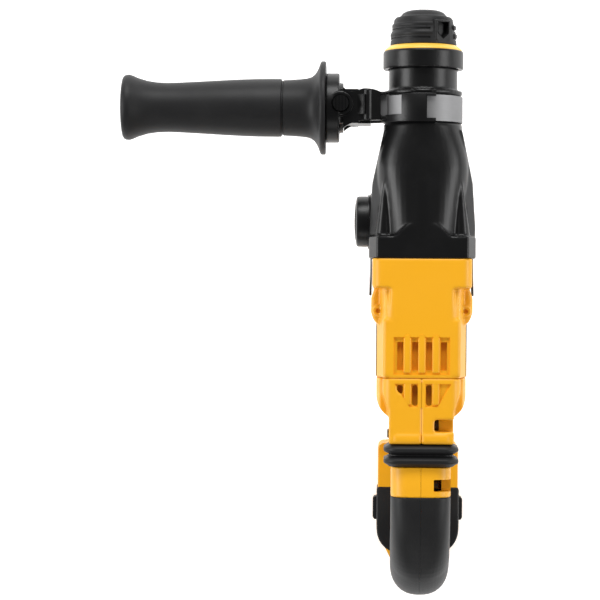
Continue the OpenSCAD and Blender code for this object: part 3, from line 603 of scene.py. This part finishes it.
# %% Studio floor
floor_height = cad_box[0][2] - 0.0005
floor_mesh = bpy.data.meshes.new("studio_floor")
floor_bm = bmesh.new()
bmesh.ops.create_grid(floor_bm, x_segments=1, y_segments=1, size=6, matrix=Matrix.Translation((0, 0, floor_height)))
floor_bm.to_mesh(floor_mesh)
floor_bm.free()
studio_floor = bpy.data.objects.new("studio_floor", floor_mesh)
scene.collection.objects.link(studio_floor)
pale = bpy.data.materials.new("pale_floor")
pale.use_nodes = True
pale_shader = pale.node_tree.nodes["Principled BSDF"]
pale_shader.inputs["Base Color"].default_value = (0.9, 0.9, 0.9, 1)
pale_shader.inputs["Roughness"].default_value = 0.9
pale_shader.inputs["Specular IOR Level"].default_value = 0.1
pale_shader.inputs["Emission Color"].default_value = (1, 1, 1, 1)
pale_shader.inputs["Emission Strength"].default_value = 0.5
floor_mesh.materials.append(pale)
print("floor at", round(floor_height * 1000, 1), "mm")

# %% [markdown]
# Many shells are already right in the frame down to their ribs, bosses and pockets, but their edges are knife
# sharp. A copy of such a node is sewn together, given its extra outer features, and remade as a soft skin.

# %% Copies of engineered nodes
def engineered(name):
    """A millimetre copy of one of the frame's nodes, with its loose triangles sewn together."""
    bm = bmesh.new()
    bm.from_mesh(frame["nodes"][name].data)
    bmesh.ops.remove_doubles(bm, verts=bm.verts, dist=1e-7)
    bmesh.ops.scale(bm, verts=bm.verts, vec=(1000, 1000, 1000))
    return bm


def gathered(*parts):
    """Several solids in one bmesh. They may overlap: the remeshing joins them."""
    whole = bmesh.new()
    for part in parts:
        mesh = bpy.data.meshes.new("part")
        part.to_mesh(mesh)
        part.free()
        whole.from_mesh(mesh)
        bpy.data.meshes.remove(mesh)
    return whole


def both_hands(make):
    """make(side) for the left (-1) and the right (1) of the tool."""
    return [make(-1), make(1)]


# %% [markdown]
# ## The nose: dust cap, pale ring and locking sleeve
# The dust cap is a rubber bell that keeps grit out of the chuck. It is turned, with two rounded bands that
# stop at a raised window frame on its top side. The bands are turned on their own, so the gap is one cut.

# %% Dust cap
CAP_HOLE = 5.35
cap_profile = [(CAP_HOLE, -15.8), (21, -15.8), (20.6, -9), (19.6, -4), (19, -2), (18.6, 0.4), (17.6, 1.7),
               (15.2, 2.2), (14.3, 3.2), (13.2, 4.6), (11.4, 5.6), (9.4, 6.2), (6.8, 6.5), (CAP_HOLE, 6.3)]
cap = turned(cap_profile, 128)
bands = []
for y, r in [(-3.7, 19.4), (-9.4, 20.4)]:
    bands.append(turned([(r - 2, y - 1.6), (r, y - 1.5), (r + 0.45, y - 0.9), (r + 0.55, y), (r + 0.45, y + 0.9),
                         (r, y + 1.4), (r - 2, y + 1.6)], 128))
bands = [combined(band, [block(5.6, 30, -16, 3, -3, 30)], "DIFFERENCE") for band in bands]
grooves = [turned([(r - 0.7, y - 0.5), (r + 2, y - 0.9), (r + 2, y + 0.9), (r - 0.7, y + 0.5)], 128)
           for y, r in [(-6.5, 20.0), (-12.3, 20.8)]]
grooves = [combined(groove, [block(4.0, 18.6, -16, 3, 0, 30)], "DIFFERENCE") for groove in grooves]


def swung(bm, degrees):
    """Turned round the tool's axis, away from the top and towards the right."""
    bmesh.ops.rotate(bm, verts=bm.verts, cent=(0, 0, 0), matrix=Matrix.Rotation(math.radians(degrees), 3, "Y"))
    return bm


window_frame = swung(block(-5.9, 5.9, -14.4, -1.0, 14, 20.7, 0.9), 36)
window = swung(slab([(-4.4, -2.3), (4.4, -2.3), (4.4, -9.6), (0, -13.2), (-4.4, -9.6)], 16.2, 26, "Z"), 36)
arrow = swung(slab([(-2.2, -3.4), (2.2, -3.4), (2.2, -8.8), (0, -11.0), (-2.2, -8.8)], 14, 18.0, "Z", 0.5), 36)
studs = [swung(block(-2.7, 2.7, y - 1.5, y + 1.5, 14, r, 0.9), 73) for y, r in [(-5.0, 20.9), (-10.4, 21.5)]]
cap = combined(combined(cap, grooves, "DIFFERENCE"), bands + [window_frame, *studs], "UNION")
cap = combined(combined(cap, [window], "DIFFERENCE"), [arrow], "UNION")
piece("rubber_dust_cap", cap, "spindle", ["dust_cap"], "black_rubber")

# %% [markdown]
# The pale ring is the band the thumb finds before it pulls the sleeve back. It is turned between the two
# planes that the engineered ring reaches to.

# %% Pale ring
ring_box, sleeve_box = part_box("accent_ring"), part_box("chuck_sleeve")
ring_front, ring_back = ring_box[1][1] * 1000, ring_box[0][1] * 1000
ring = turned([(20.9, ring_back), (24.6, ring_back), (24.55, ring_back + 0.5), (24.1, ring_back + 1.1),
               (23.2, ring_back + 1.9), (21.9, ring_front - 0.3), (21.4, ring_front), (20.9, ring_front)], 128)
piece("pale_ring", ring, "locking_sleeve", ["accent_ring"], "accent_plastic")
print("ring from", round(ring_front, 1), "to", round(ring_back, 1), "mm")

# %% [markdown]
# The sleeve keeps its engineered shape, inside and out. It is only remade, which rounds its edges.

# %% Locking sleeve
sleeve = remade(engineered("chuck_sleeve"), 0.5, 3)
piece("sliding_sleeve", sleeve, "locking_sleeve", ["chuck_sleeve"], "black_plastic")
print("sleeve is", round((sleeve_box[1][1] - sleeve_box[0][1]) * 1000, 1), "mm long")

# %% [markdown]
# ## The gearcase
# The gearcase is one black casting of glass-filled nylon round the hammer mechanism. The frame's node has the
# barrel, the lower housing and the rear flange. On top of it go the cowl that sweeps from the barrel to the
# flange, two screw tunnels, the hood's arched edge, a round seat for the mode knob, and the pointed skirts
# that lap over the motor housing.

# %% Gearcase
hood_edge = flow([(-21, -138), (-18.2, -137), (-15.8, -135.8), (-13.3, -133.2), (-10.7, -131), (-7.5, -129.6),
                  (0, -129), (7.5, -129.6), (10.7, -131), (13.3, -133.2), (15.8, -135.8), (18.2, -137),
                  (21, -138)], 3)
hood = slab(hood_edge, 18, 27.3, "Z")


def cowl():
    """The smooth sweep from the round barrel out to the wings and back to the flange, as squarish half ovals."""
    rings = []
    for y, wide, high, base in flow([(-64, 24.8, 24.8, 0), (-69, 24.7, 24.9, 3), (-75, 25.5, 25.1, 6),
                                     (-82, 27.0, 25.6, 7), (-89, 28.4, 26.2, 6), (-96, 29.0, 26.8, 4),
                                     (-104, 28.9, 27.1, 1), (-114, 28.3, 27.2, -3), (-126, 27.4, 27.2, -6),
                                     (-137.5, 26.8, 27.2, -8)], 3):
        power = 2 / (2.0 + 0.6 * min(1, max(0, (-64 - y) / 30)))
        upper = []
        for i in range(25):
            turn = math.pi * i / 24
            upper.append((wide * math.copysign(abs(math.cos(turn)) ** power, math.cos(turn)), y,
                          base + (high - base) * abs(math.sin(turn)) ** power))
        rings.append(upper + [(-wide + 0.5, y, -14), (wide - 0.5, y, -14)])
    return loft(rings)


def screw_tunnel(side):
    """The ridge that grows out of the cowl towards a flange screw."""
    return rod((side * 23.4, -97, 18.4), (side * 24.6, -138, 15.2), 0.8, 5.4)


def screw_seat(side):
    """The round recess at the end of the tunnel, where the screw head sits."""
    return rod((side * 25.6, -131, 14.5), (side * 25.6, -137.3, 14.5), 3.8)


def skirt(side):
    """The pointed lap beside the motor housing. Its outer face leans inwards towards the top."""
    outline = [(-140, 4), (-150, 6), (-160, 2), (-174.5, -14), (-170, -24), (-160, -36), (-140, -40)]
    inner, outer = 31.85, 33.45
    lap = slab(outline, side * inner, side * outer, "X", 0.6)
    for vert in lap.verts:
        lean = min(1.0, max(0.2, (6 - vert.co.z) / 14))
        vert.co.x = side * (inner + (abs(vert.co.x) - inner) * lean)
    return lap


barrel_hollow = rod((0, -60, 0), (0, -140, 0), 22.6, 23.4, 64)
collar_room = block(-40, 40, -66.2, -40, -40, 40)
outer_sweep = combined(cowl(), [collar_room, barrel_hollow], "DIFFERENCE")
dial_seat = rod((-33.55, -127, -15), (-30, -127, -15), 17.3, segments=96)
case = gathered(engineered("gearcase"), outer_sweep, hood, dial_seat, *both_hands(screw_tunnel))
case = remade(case, 0.9, 4)
case = combined(case, both_hands(screw_seat), "DIFFERENCE")
case = combined(case, both_hands(skirt), "UNION")
piece("gear_housing", case, "tool_body", ["gearcase"], "case_black")

# %% [markdown]
# ## The motor housing
# The amber housing holds the motor. Its front band bolts to the gearcase. Behind the band the top narrows to
# a raised panel, with a screw boss tucked in at each side. The cooling air enters through four slots that
# lie in a shallow pocket between three bars.

# %% Motor housing
SLOT_X = (-13.5, -4.2, 4.5, 13.7)
BAR_X = (-9.1, 0.0, 8.8)


def shoulder(side):
    """The hollow beside the raised panel, deepest at the front band."""
    return slab([(-169.7, 23.6), (-194, 27.4), (-194, 34), (-169.7, 34)], side * 19.8, side * 40)


def band_corner(side):
    """What is taken off the back corner of the front band to round it."""
    arc = [(30.0 + 1.9 * math.cos(math.radians(a)), -166.4 - 3.1 * math.sin(math.radians(a)))
           for a in range(0, 91, 15)]
    return slab([(side * x, y) for x, y in [(36, -166.4), *arc, (28, -169.55), (28, -169.9), (36, -169.9)]], -70, 40,
                "Z")


def flank(side):
    """The bulge at the side that holds a case screw."""
    plan = [(side * x, y) for x, y in [(22, -169), (30.2, -169.6), (32, -176), (32, -185), (30.2, -190.5), (27, -193),
                                       (22, -193)]]
    return slab(plan, -34, 9.5, "Z", 2.2)


def screw_boss(side):
    """The round seat of the case screw on the bulge."""
    return rod((side * 27.6, -184, 4), (side * 27.6, -184, 11.4), 3.3)


def screw_hole(side):
    """The hole in the seat."""
    return rod((side * 27.6, -184, 10.2), (side * 27.6, -184, 14), 1.5)


roof = block(-24.4, 24.4, -225.9, -188, 6, 26.95, 2.4)
motor_skin = combined(engineered("motor_housing"), both_hands(shoulder) + both_hands(band_corner), "DIFFERENCE")
motor_skin = gathered(motor_skin, roof, *both_hands(flank), *both_hands(screw_boss))
motor_skin = remade(motor_skin, 0.8, 4)
motor_skin = combined(motor_skin, both_hands(screw_hole), "DIFFERENCE")
pocket = block(-17.6, 17.5, -223.6, -200.2, 25.5, 32)
slots = [block(x - 1.9, x + 1.9, -220.9, -203.2, 21.8, 34) for x in SLOT_X]
motor_skin = combined(motor_skin, [pocket, *slots], "DIFFERENCE")
bars = [block(x - 2.3, x + 2.3, -222.6, -200.4, 23.6, 27.4, 0.8) for x in BAR_X]
bar_ends = [rod((x, -200.4, 23.6), (x, -200.4, 27.4), 2.3, 1.6) for x in BAR_X]
motor_skin = combined(motor_skin, [*bars, *bar_ends], "UNION")
piece("motor_shell", motor_skin, "tool_body", ["motor_housing"], "yellow_plastic")

# %% [markdown]
# A dark plate lies on each side of the housing. It stays blank.

# %% Side plates
for side, name in ((-1, "rating_plate_left"), (1, "rating_plate_right")):
    plate = slab([(-191, -2), (-225.4, -2), (-225.4, -37), (-191, -37)], side * 28.25, side * 28.75, "X", 0.2)
    piece(name, plate, "tool_body", [], "gloss_black")

# %% [markdown]
# ## The rear shells with the strut and the foot
# The back of the tool is moulded as two halves that close on the centre plane, so there is a real parting
# line. Each half is remade on its own, which rounds the lip along the joint and leaves the fine dark gap.

# %% The rubber pads that wrap the back of the foot
def foot_plan(grow):
    """The foot seen from above, grown outwards by grow."""
    corner = flow([(27.4, -330), (27.0, -336.3), (25, -342), (21.2, -346.6), (16.2, -349.6), (11, -351.2)], 3)
    right = [(x + grow * (1 if y > -347 else 0.5), y - grow * (0 if y > -335 else 0.6)) for x, y in
             [(25.6, -305), (27.0, -305.6), (27.4, -307.2), *corner]]
    return right + [(-x, y) for x, y in reversed(right)]


def foot_pad(side):
    """A soft shell over one back corner of the foot, with a square nub that stands out of its side."""
    pad = slab(foot_plan(0.8), -158, -121.2, "Z", 1.2)
    hollow = slab(foot_plan(-1.9), -170, -123.7, "Z")
    handle_room = block(-17.4, 17.4, -349.5, -290, -130, -110, 0)
    middle = block(-side * 40, side * 12.5, -380, -290, -170, -110)
    pad = combined(pad, [hollow, handle_room, middle], "DIFFERENCE")
    nub_plan = [(25.8, -312.6), (29.6, -312.6), (30.9, -314), (30.9, -326.8), (29.8, -328.4), (25.8, -328.8)]
    nub = slab([(side * x, y) for x, y in nub_plan], -149, -134, "Z", 0.6)
    return combined(pad, [nub], "UNION")


pads = {side: foot_pad(side) for side in (-1, 1)}
pad_rooms = {side: pads[side].copy() for side in pads}

# %% [markdown]
# The top of the shells has three bars over an air opening. The pads' own shapes are cut out of the shells, so
# that rubber and plastic meet exactly. A small filler makes each lower shoulder whole under the remade skin.

# %% Rear shell halves
VENT = [(-17, -229.3), (18.6, -229.3), (10, -243.6), (-7.6, -243.6)]
for side, name in ((-1, "left"), (1, "right")):
    top_y = (-237.5, -232.6) if side < 0 else (-229.6, -229.6)
    outer_slot = slab([(side * 11, top_y[0]), (side * 16.5, top_y[1]), (side * 16.5, -244), (side * 11, -244)], 22.4,
                      26.8, "Z")
    lip = block(side * 0.1, side * 17, -266.4, -260.8, 20, 27.9, 1.3)
    corner = block(side * 20, side * 24.2, -246.5, -239, 5.5, 8.95)
    half = remade(gathered(engineered("rear_shell_" + name), outer_slot, lip, corner), 0.8, 4)
    recess = slab(VENT, 25.5, 32, "Z")
    half = combined(half, [recess, pad_rooms[side]], "DIFFERENCE")
    vent_bars = [block(side * 6.6, side * 11.1, -242.5, -228.4, 23.5, 26.9, 0.8),
                 block(side * 0.12, side * 2.4, -244.4, -228.4, 23.5, 26.9, 0)]
    vent_baffle = block(side * 0.3, side * 17, -245, -228, 20, 21)
    half = combined(half, [*vent_bars, vent_baffle], "UNION")
    piece("rear_shell_skin_" + name, half, "tool_body", ["rear_shell_" + name], "yellow_plastic")
    piece("foot_pad_skin_" + name, pads[side], "tool_body", ["foot_pad_" + name], "black_rubber")

# %% [markdown]
# ## The bellows
# A folded rubber boot closes the gap between the tool and its sprung rear handle. It has two lobes with a deep
# valley between them. It is a tube lofted through rounded outlines that grow and shrink, and its wall comes
# back inside, so it is closed. It rides on no body.

# %% Bellows
BELLOWS = [(-267.2, 5.4), (-267.9, 6.3), (-269.3, 8.65), (-269.9, 8.95), (-271.2, 8.95), (-271.8, 8.6), (-273.2, 6.0),
           (-274.0, 4.3), (-274.5, 4.3), (-275.2, 6.0), (-276.5, 8.6), (-277.1, 8.95), (-278.5, 8.95), (-279.1, 8.6),
           (-280.5, 6.3), (-281.2, 5.4)]
WALL = 1.6


def boot_ring(y, grow):
    """The neck's outline, grown outwards by grow, stood upright at y."""
    return across(y, rounded_outline(14.5 + grow, 19.2 + grow, -6 - grow, max(grow, 1.0)))


def tube(rings):
    """A closed tube: each ring is extruded from the last, and the last is bridged back to the first."""
    bm = bmesh.new()
    last = [bm.verts.new(p) for p in rings[0]]
    count = len(last)
    first = [bm.edges.new((last[i], last[(i + 1) % count])) for i in range(count)]
    edges = first
    for ring in rings[1:]:
        spots = [v.co.copy() for v in last]
        got = bmesh.ops.extrude_edge_only(bm, edges=edges)["geom"]
        fresh = [v for v in got if isinstance(v, bmesh.types.BMVert)]
        last = [min(fresh, key=lambda v: (v.co - spot).length_squared) for spot in spots]
        for vert, place in zip(last, ring):
            vert.co = place
        edges = [bm.edges.get((last[i], last[(i + 1) % count])) for i in range(count)]
    bmesh.ops.bridge_loops(bm, edges=first + edges)
    bmesh.ops.recalc_face_normals(bm, faces=bm.faces)
    return bm


outer = [boot_ring(y, grow) for y, grow in BELLOWS]
inner = [boot_ring(y, grow - WALL) for y, grow in reversed(BELLOWS)]
boot = piece("rubber_bellows", tube(outer + inner), None, ["bellows"], "black_rubber")
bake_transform(boot)

# %% [markdown]
# ## The sprung rear handle
# The handle is two amber halves with two soft grips over them. The halves show only at the cap behind the
# bellows and at the bottom. The rubber has a crowned section, so that it fills the palm.

# %% The handle's spine, as pairs of an outer and an inner point (y, z)
SPINE = flow([(-281.7, 23.5, -281.7, -15.5), (-300, 24.9, -296, -15.5), (-318, 23.5, -306.5, -18),
              (-335, 18.5, -316, -22), (-350, 9, -322, -27.5), (-360, -4, -325.5, -34), (-365.7, -18, -327.5, -41),
              (-367.5, -34, -328, -48), (-365.2, -60, -327, -64), (-358, -92, -323, -96), (-350, -118, -320.5, -124),
              (-345, -137, -321, -138), (-339, -146.5, -326, -146.5)], 4)
HALF_GRIP, HALF_CORE, RUBBER = 18.95, 15.8, 3.1


def crown(inset, half_width):
    """A loft round the spine. Its section is a squarish oval at the cap and a round one in the palm."""
    rings = []
    for place, (y_out, z_out, y_in, z_in) in enumerate(SPINE):
        outside, inside = Vector((0, y_out, z_out)), Vector((0, y_in, z_in))
        arm = (outside - inside) / 2
        arm *= 1 - inset / arm.length
        power = 2 / (4.6 - 2.3 * min(1, place / 18))
        ring = []
        for i in range(48):
            turn = 2 * math.pi * i / 48
            up, over = math.cos(turn), math.sin(turn)
            spot = (outside + inside) / 2 + arm * math.copysign(abs(up) ** power, up)
            spot.x = half_width * math.copysign(abs(over) ** power, over)
            ring.append(spot)
        rings.append(ring)
    return loft(rings)


print("spine points:", len(SPINE))

# %% [markdown]
# The amber core lies under the rubber, and swells to full width at its cap. It is hollow, and is cut in two.

# %% Amber core with its cap
behind_cap = block(-40, 40, -380, -300.5, -170, 60)
cap_shell = combined(crown(0, 18.9), [behind_cap], "DIFFERENCE")
core_hollow = combined(crown(RUBBER + 2.6, HALF_CORE - 2.6), [block(-40, 40, -284.4, -270, -60, 60),
                                                              block(-40, 40, -380, -290, -170, -142)], "DIFFERENCE")
trigger_gap = block(-8.4, 8.4, -336, -300, -57.6, -20.4)
cap_pocket = block(8, 30, -296.8, -289.2, 11.2, 40, 0.6)
core = combined(crown(RUBBER, HALF_CORE), [cap_shell], "UNION")
core = remade(core, 0.6, 3)
core = combined(core, [core_hollow, trigger_gap, cap_pocket], "DIFFERENCE")
core = combined(core, [rod((10.9, -338, -4), (30, -338, -4), 4), rod((10.9, -340, -82), (30, -340, -82), 4)],
                "DIFFERENCE")
for side, name in ((-1, "left"), (1, "right")):
    piece("handle_skin_" + name, halved(core, side, 0.1), "rear_handle", ["handle_shell_" + name], "yellow_plastic")
core.free()

# %% [markdown]
# The rubber is the same crowned loft with the core taken out of it. The trigger and the slider keep their
# engineered shape with rounded edges.

# %% Soft grips, trigger and direction slider
rubber = combined(crown(0, HALF_GRIP), [block(-40, 40, -300.6, -270, -60, 60),
                                        block(-40, 40, -380, -290, -170, -118)], "DIFFERENCE")
rubber = combined(rubber, [crown(RUBBER - 0.05, HALF_CORE + 0.05)], "DIFFERENCE")
rubber = combined(rubber, [block(-8.6, 8.6, -336, -300, -57.8, -20.2)], "DIFFERENCE")
rubber = remade(rubber, 0.6, 4)
rubber = combined(rubber, [rod((10.9, -338, -4), (30, -338, -4), 3.8), rod((10.9, -340, -82), (30, -340, -82), 3.8)],
                  "DIFFERENCE")
for side, name in ((-1, "left"), (1, "right")):
    piece("grip_skin_" + name, halved(rubber, side, 0.05), "rear_handle", ["handle_grip_" + name], "black_rubber")
rubber.free()
finger = remade(engineered("trigger"), 0.5, 4)
piece("trigger_skin", finger, "trigger_body", ["trigger"], "black_plastic")
slider = remade(engineered("direction_bar"), 0.35, 3)
piece("direction_slider", slider, "direction_switch", ["direction_bar"], "gloss_black")

# %% [markdown]
# ## The mode selector
# The knob on the left side picks drilling, hammering or both. It is a turned disc with a slightly domed face.
# Two finger wells leave a grip bar across it, and a slot at one end of the bar is the pointer.

# %% Selector knob
knob_low, knob_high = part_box("selector_knob")
knob_y = (knob_low[1] + knob_high[1]) * 500
knob_z = (knob_low[2] + knob_high[2]) * 500
disc = turned([(0, 34.5), (16.2, 34.5), (16.25, 37), (16.15, 40.4), (15.9, 41.3), (15.1, 41.8), (11, 42.6),
               (5, 43.05), (0, 43.15)], 96, "-X", (0, knob_y, knob_z))
finger_wells = []
for side in (-1, 1):
    reach = [(knob_y + 12.6 * math.cos(math.radians(a)), knob_z + side * 12.6 * math.sin(math.radians(a)))
             for a in range(18, 163, 12)]
    finger_wells.append(slab(reach, -45, -39.6, "X"))
pointer = slab([(knob_y + 14.4, knob_z - 0.5), (knob_y + 8, knob_z - 0.5), (knob_y + 8, knob_z + 0.5),
                (knob_y + 14.4, knob_z + 0.5)], -45, -41.6, "X")
knob = combined(disc, [*finger_wells, pointer], "DIFFERENCE")
piece("selector_dial", knob, "selector", ["selector_knob"], "case_black")

# %% [markdown]
# ## The side handle
# A bolt pulls a steel band tight round the collar when the grip is twisted. The black carrier beside it holds
# the grip's hub and the depth stop with its ribbed button. The grip itself is a turned hourglass in rubber
# with a wide guard that keeps the hand off the collar.

# %% Side handle carrier and button
carrier = remade(engineered("clamp_carrier"), 0.5, 4)
piece("side_handle_carrier", carrier, "side_handle", ["clamp_carrier"], "black_plastic")
saddle = turned([(25.25, -65.4), (27.2, -65.4), (27.4, -65), (27.4, -48.2), (27.2, -47.8), (25.25, -47.8)], 160)
saddle_plan = slab([(-13.8, -47), (7.8, -47), (7.8, -49.6), (2.1, -49.6), (2.1, -63.4), (7.8, -63.4), (7.8, -66),
                    (-30, -66), (-30, -60.8), (-13.8, -60.8)], 6, 40, "Z")
saddle = combined(saddle, [saddle_plan], "INTERSECT")
piece("band_saddle", saddle, "side_handle", [], "black_plastic")

# %% [markdown]
# The bridge between the carrier and the band is a pair of black covers, one above and one below the bolt. Each
# has a round rib across it and a slanted pawl next to the hub, and two rails that hold the band's ears.

# %% Bridge covers
BRIDGE = flow([(-50.4, -69.4), (-47.5, -67.2), (-43.5, -65.4), (-38.5, -64.4), (-32, -64.1), (-26.8, -63.9)], 4) + \
    flow([(-26.8, -46.2), (-31, -44.6), (-37, -44.0), (-41, -45.0), (-45, -45.9), (-48, -45.0), (-50.4, -43.2)], 4)


def bridge_cover(way):
    """The cover above (1) or below (-1) the bolt."""
    cover = slab(BRIDGE, way * 11.5, way * 15.3, "Z")
    rib = rod((-34.9, -63.6, way * 13.4), (-34.9, -44.6, way * 13.4), 2.9)
    button_room = rod((-51.8, -54, way * 5), (-51.8, -54, way * 25), 7.6)
    rails = [block(-28, -22.8, y0, y1, way * 11.5, way * 14.4, 0.5) for y0, y1 in [(-63.8, -60.9), (-48.0, -46.0)]]
    hub_room = rod((-53.4, -55.5, 0), (-49.5, -55.5, 0), 15.9)
    pawl_side = [(-42.4, 13.6), (-42.2, 14.8), (-37.6, 17.5), (-37.0, 17.2), (-37.0, 13.6)]
    pawl = slab([(x, way * z) for x, z in pawl_side], -60.4, -47.8, "Y", 0.25)
    cover = remade(gathered(cover, rib, *rails), 0.45, 3)
    return combined(combined(cover, [button_room, hub_room], "DIFFERENCE"), [pawl], "UNION")


piece("bridge_cover_top", bridge_cover(1), "side_handle", [], "black_plastic")
piece("bridge_cover_bottom", bridge_cover(-1), "side_handle", [], "black_plastic")

# %% [markdown]
# The grip is one turned profile: the wide guard, a narrow groove and the long waisted handle.

# %% Side grip
side_low, side_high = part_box("side_grip")
side_y = (side_low[1] + side_high[1]) * 500
grip_profile = [(9.5, 61.6), (29.0, 61.6), (29.55, 62.1), (29.6, 63), (29.55, 64.1), (28.9, 64.9), (27.2, 65.5),
                (25.2, 66.2), (23.2, 67.2), (21.2, 68.6), (19.6, 70.6), (18.7, 73.5), (18.2, 78), (17.8, 84),
                (17.6, 88.2), (17.1, 88.6), (17.1, 89.3), (18.3, 89.8), (18.4, 92), (18.3, 105), (17.9, 116),
                (17.4, 126), (16.6, 140), (15.9, 153), (15.6, 162), (15.9, 169), (16.8, 175), (18.6, 181),
                (20.2, 184.6), (20.8, 186.6), (20.7, 188.4), (20.1, 189.8), (18.9, 190.6), (17.2, 190.95),
                (9.5, 190.95)]
grip_shape = turned(grip_profile, 128, "-X", (0, side_y, 0))
piece("side_grip_rubber", grip_shape, "grip", ["side_grip"], "black_rubber")
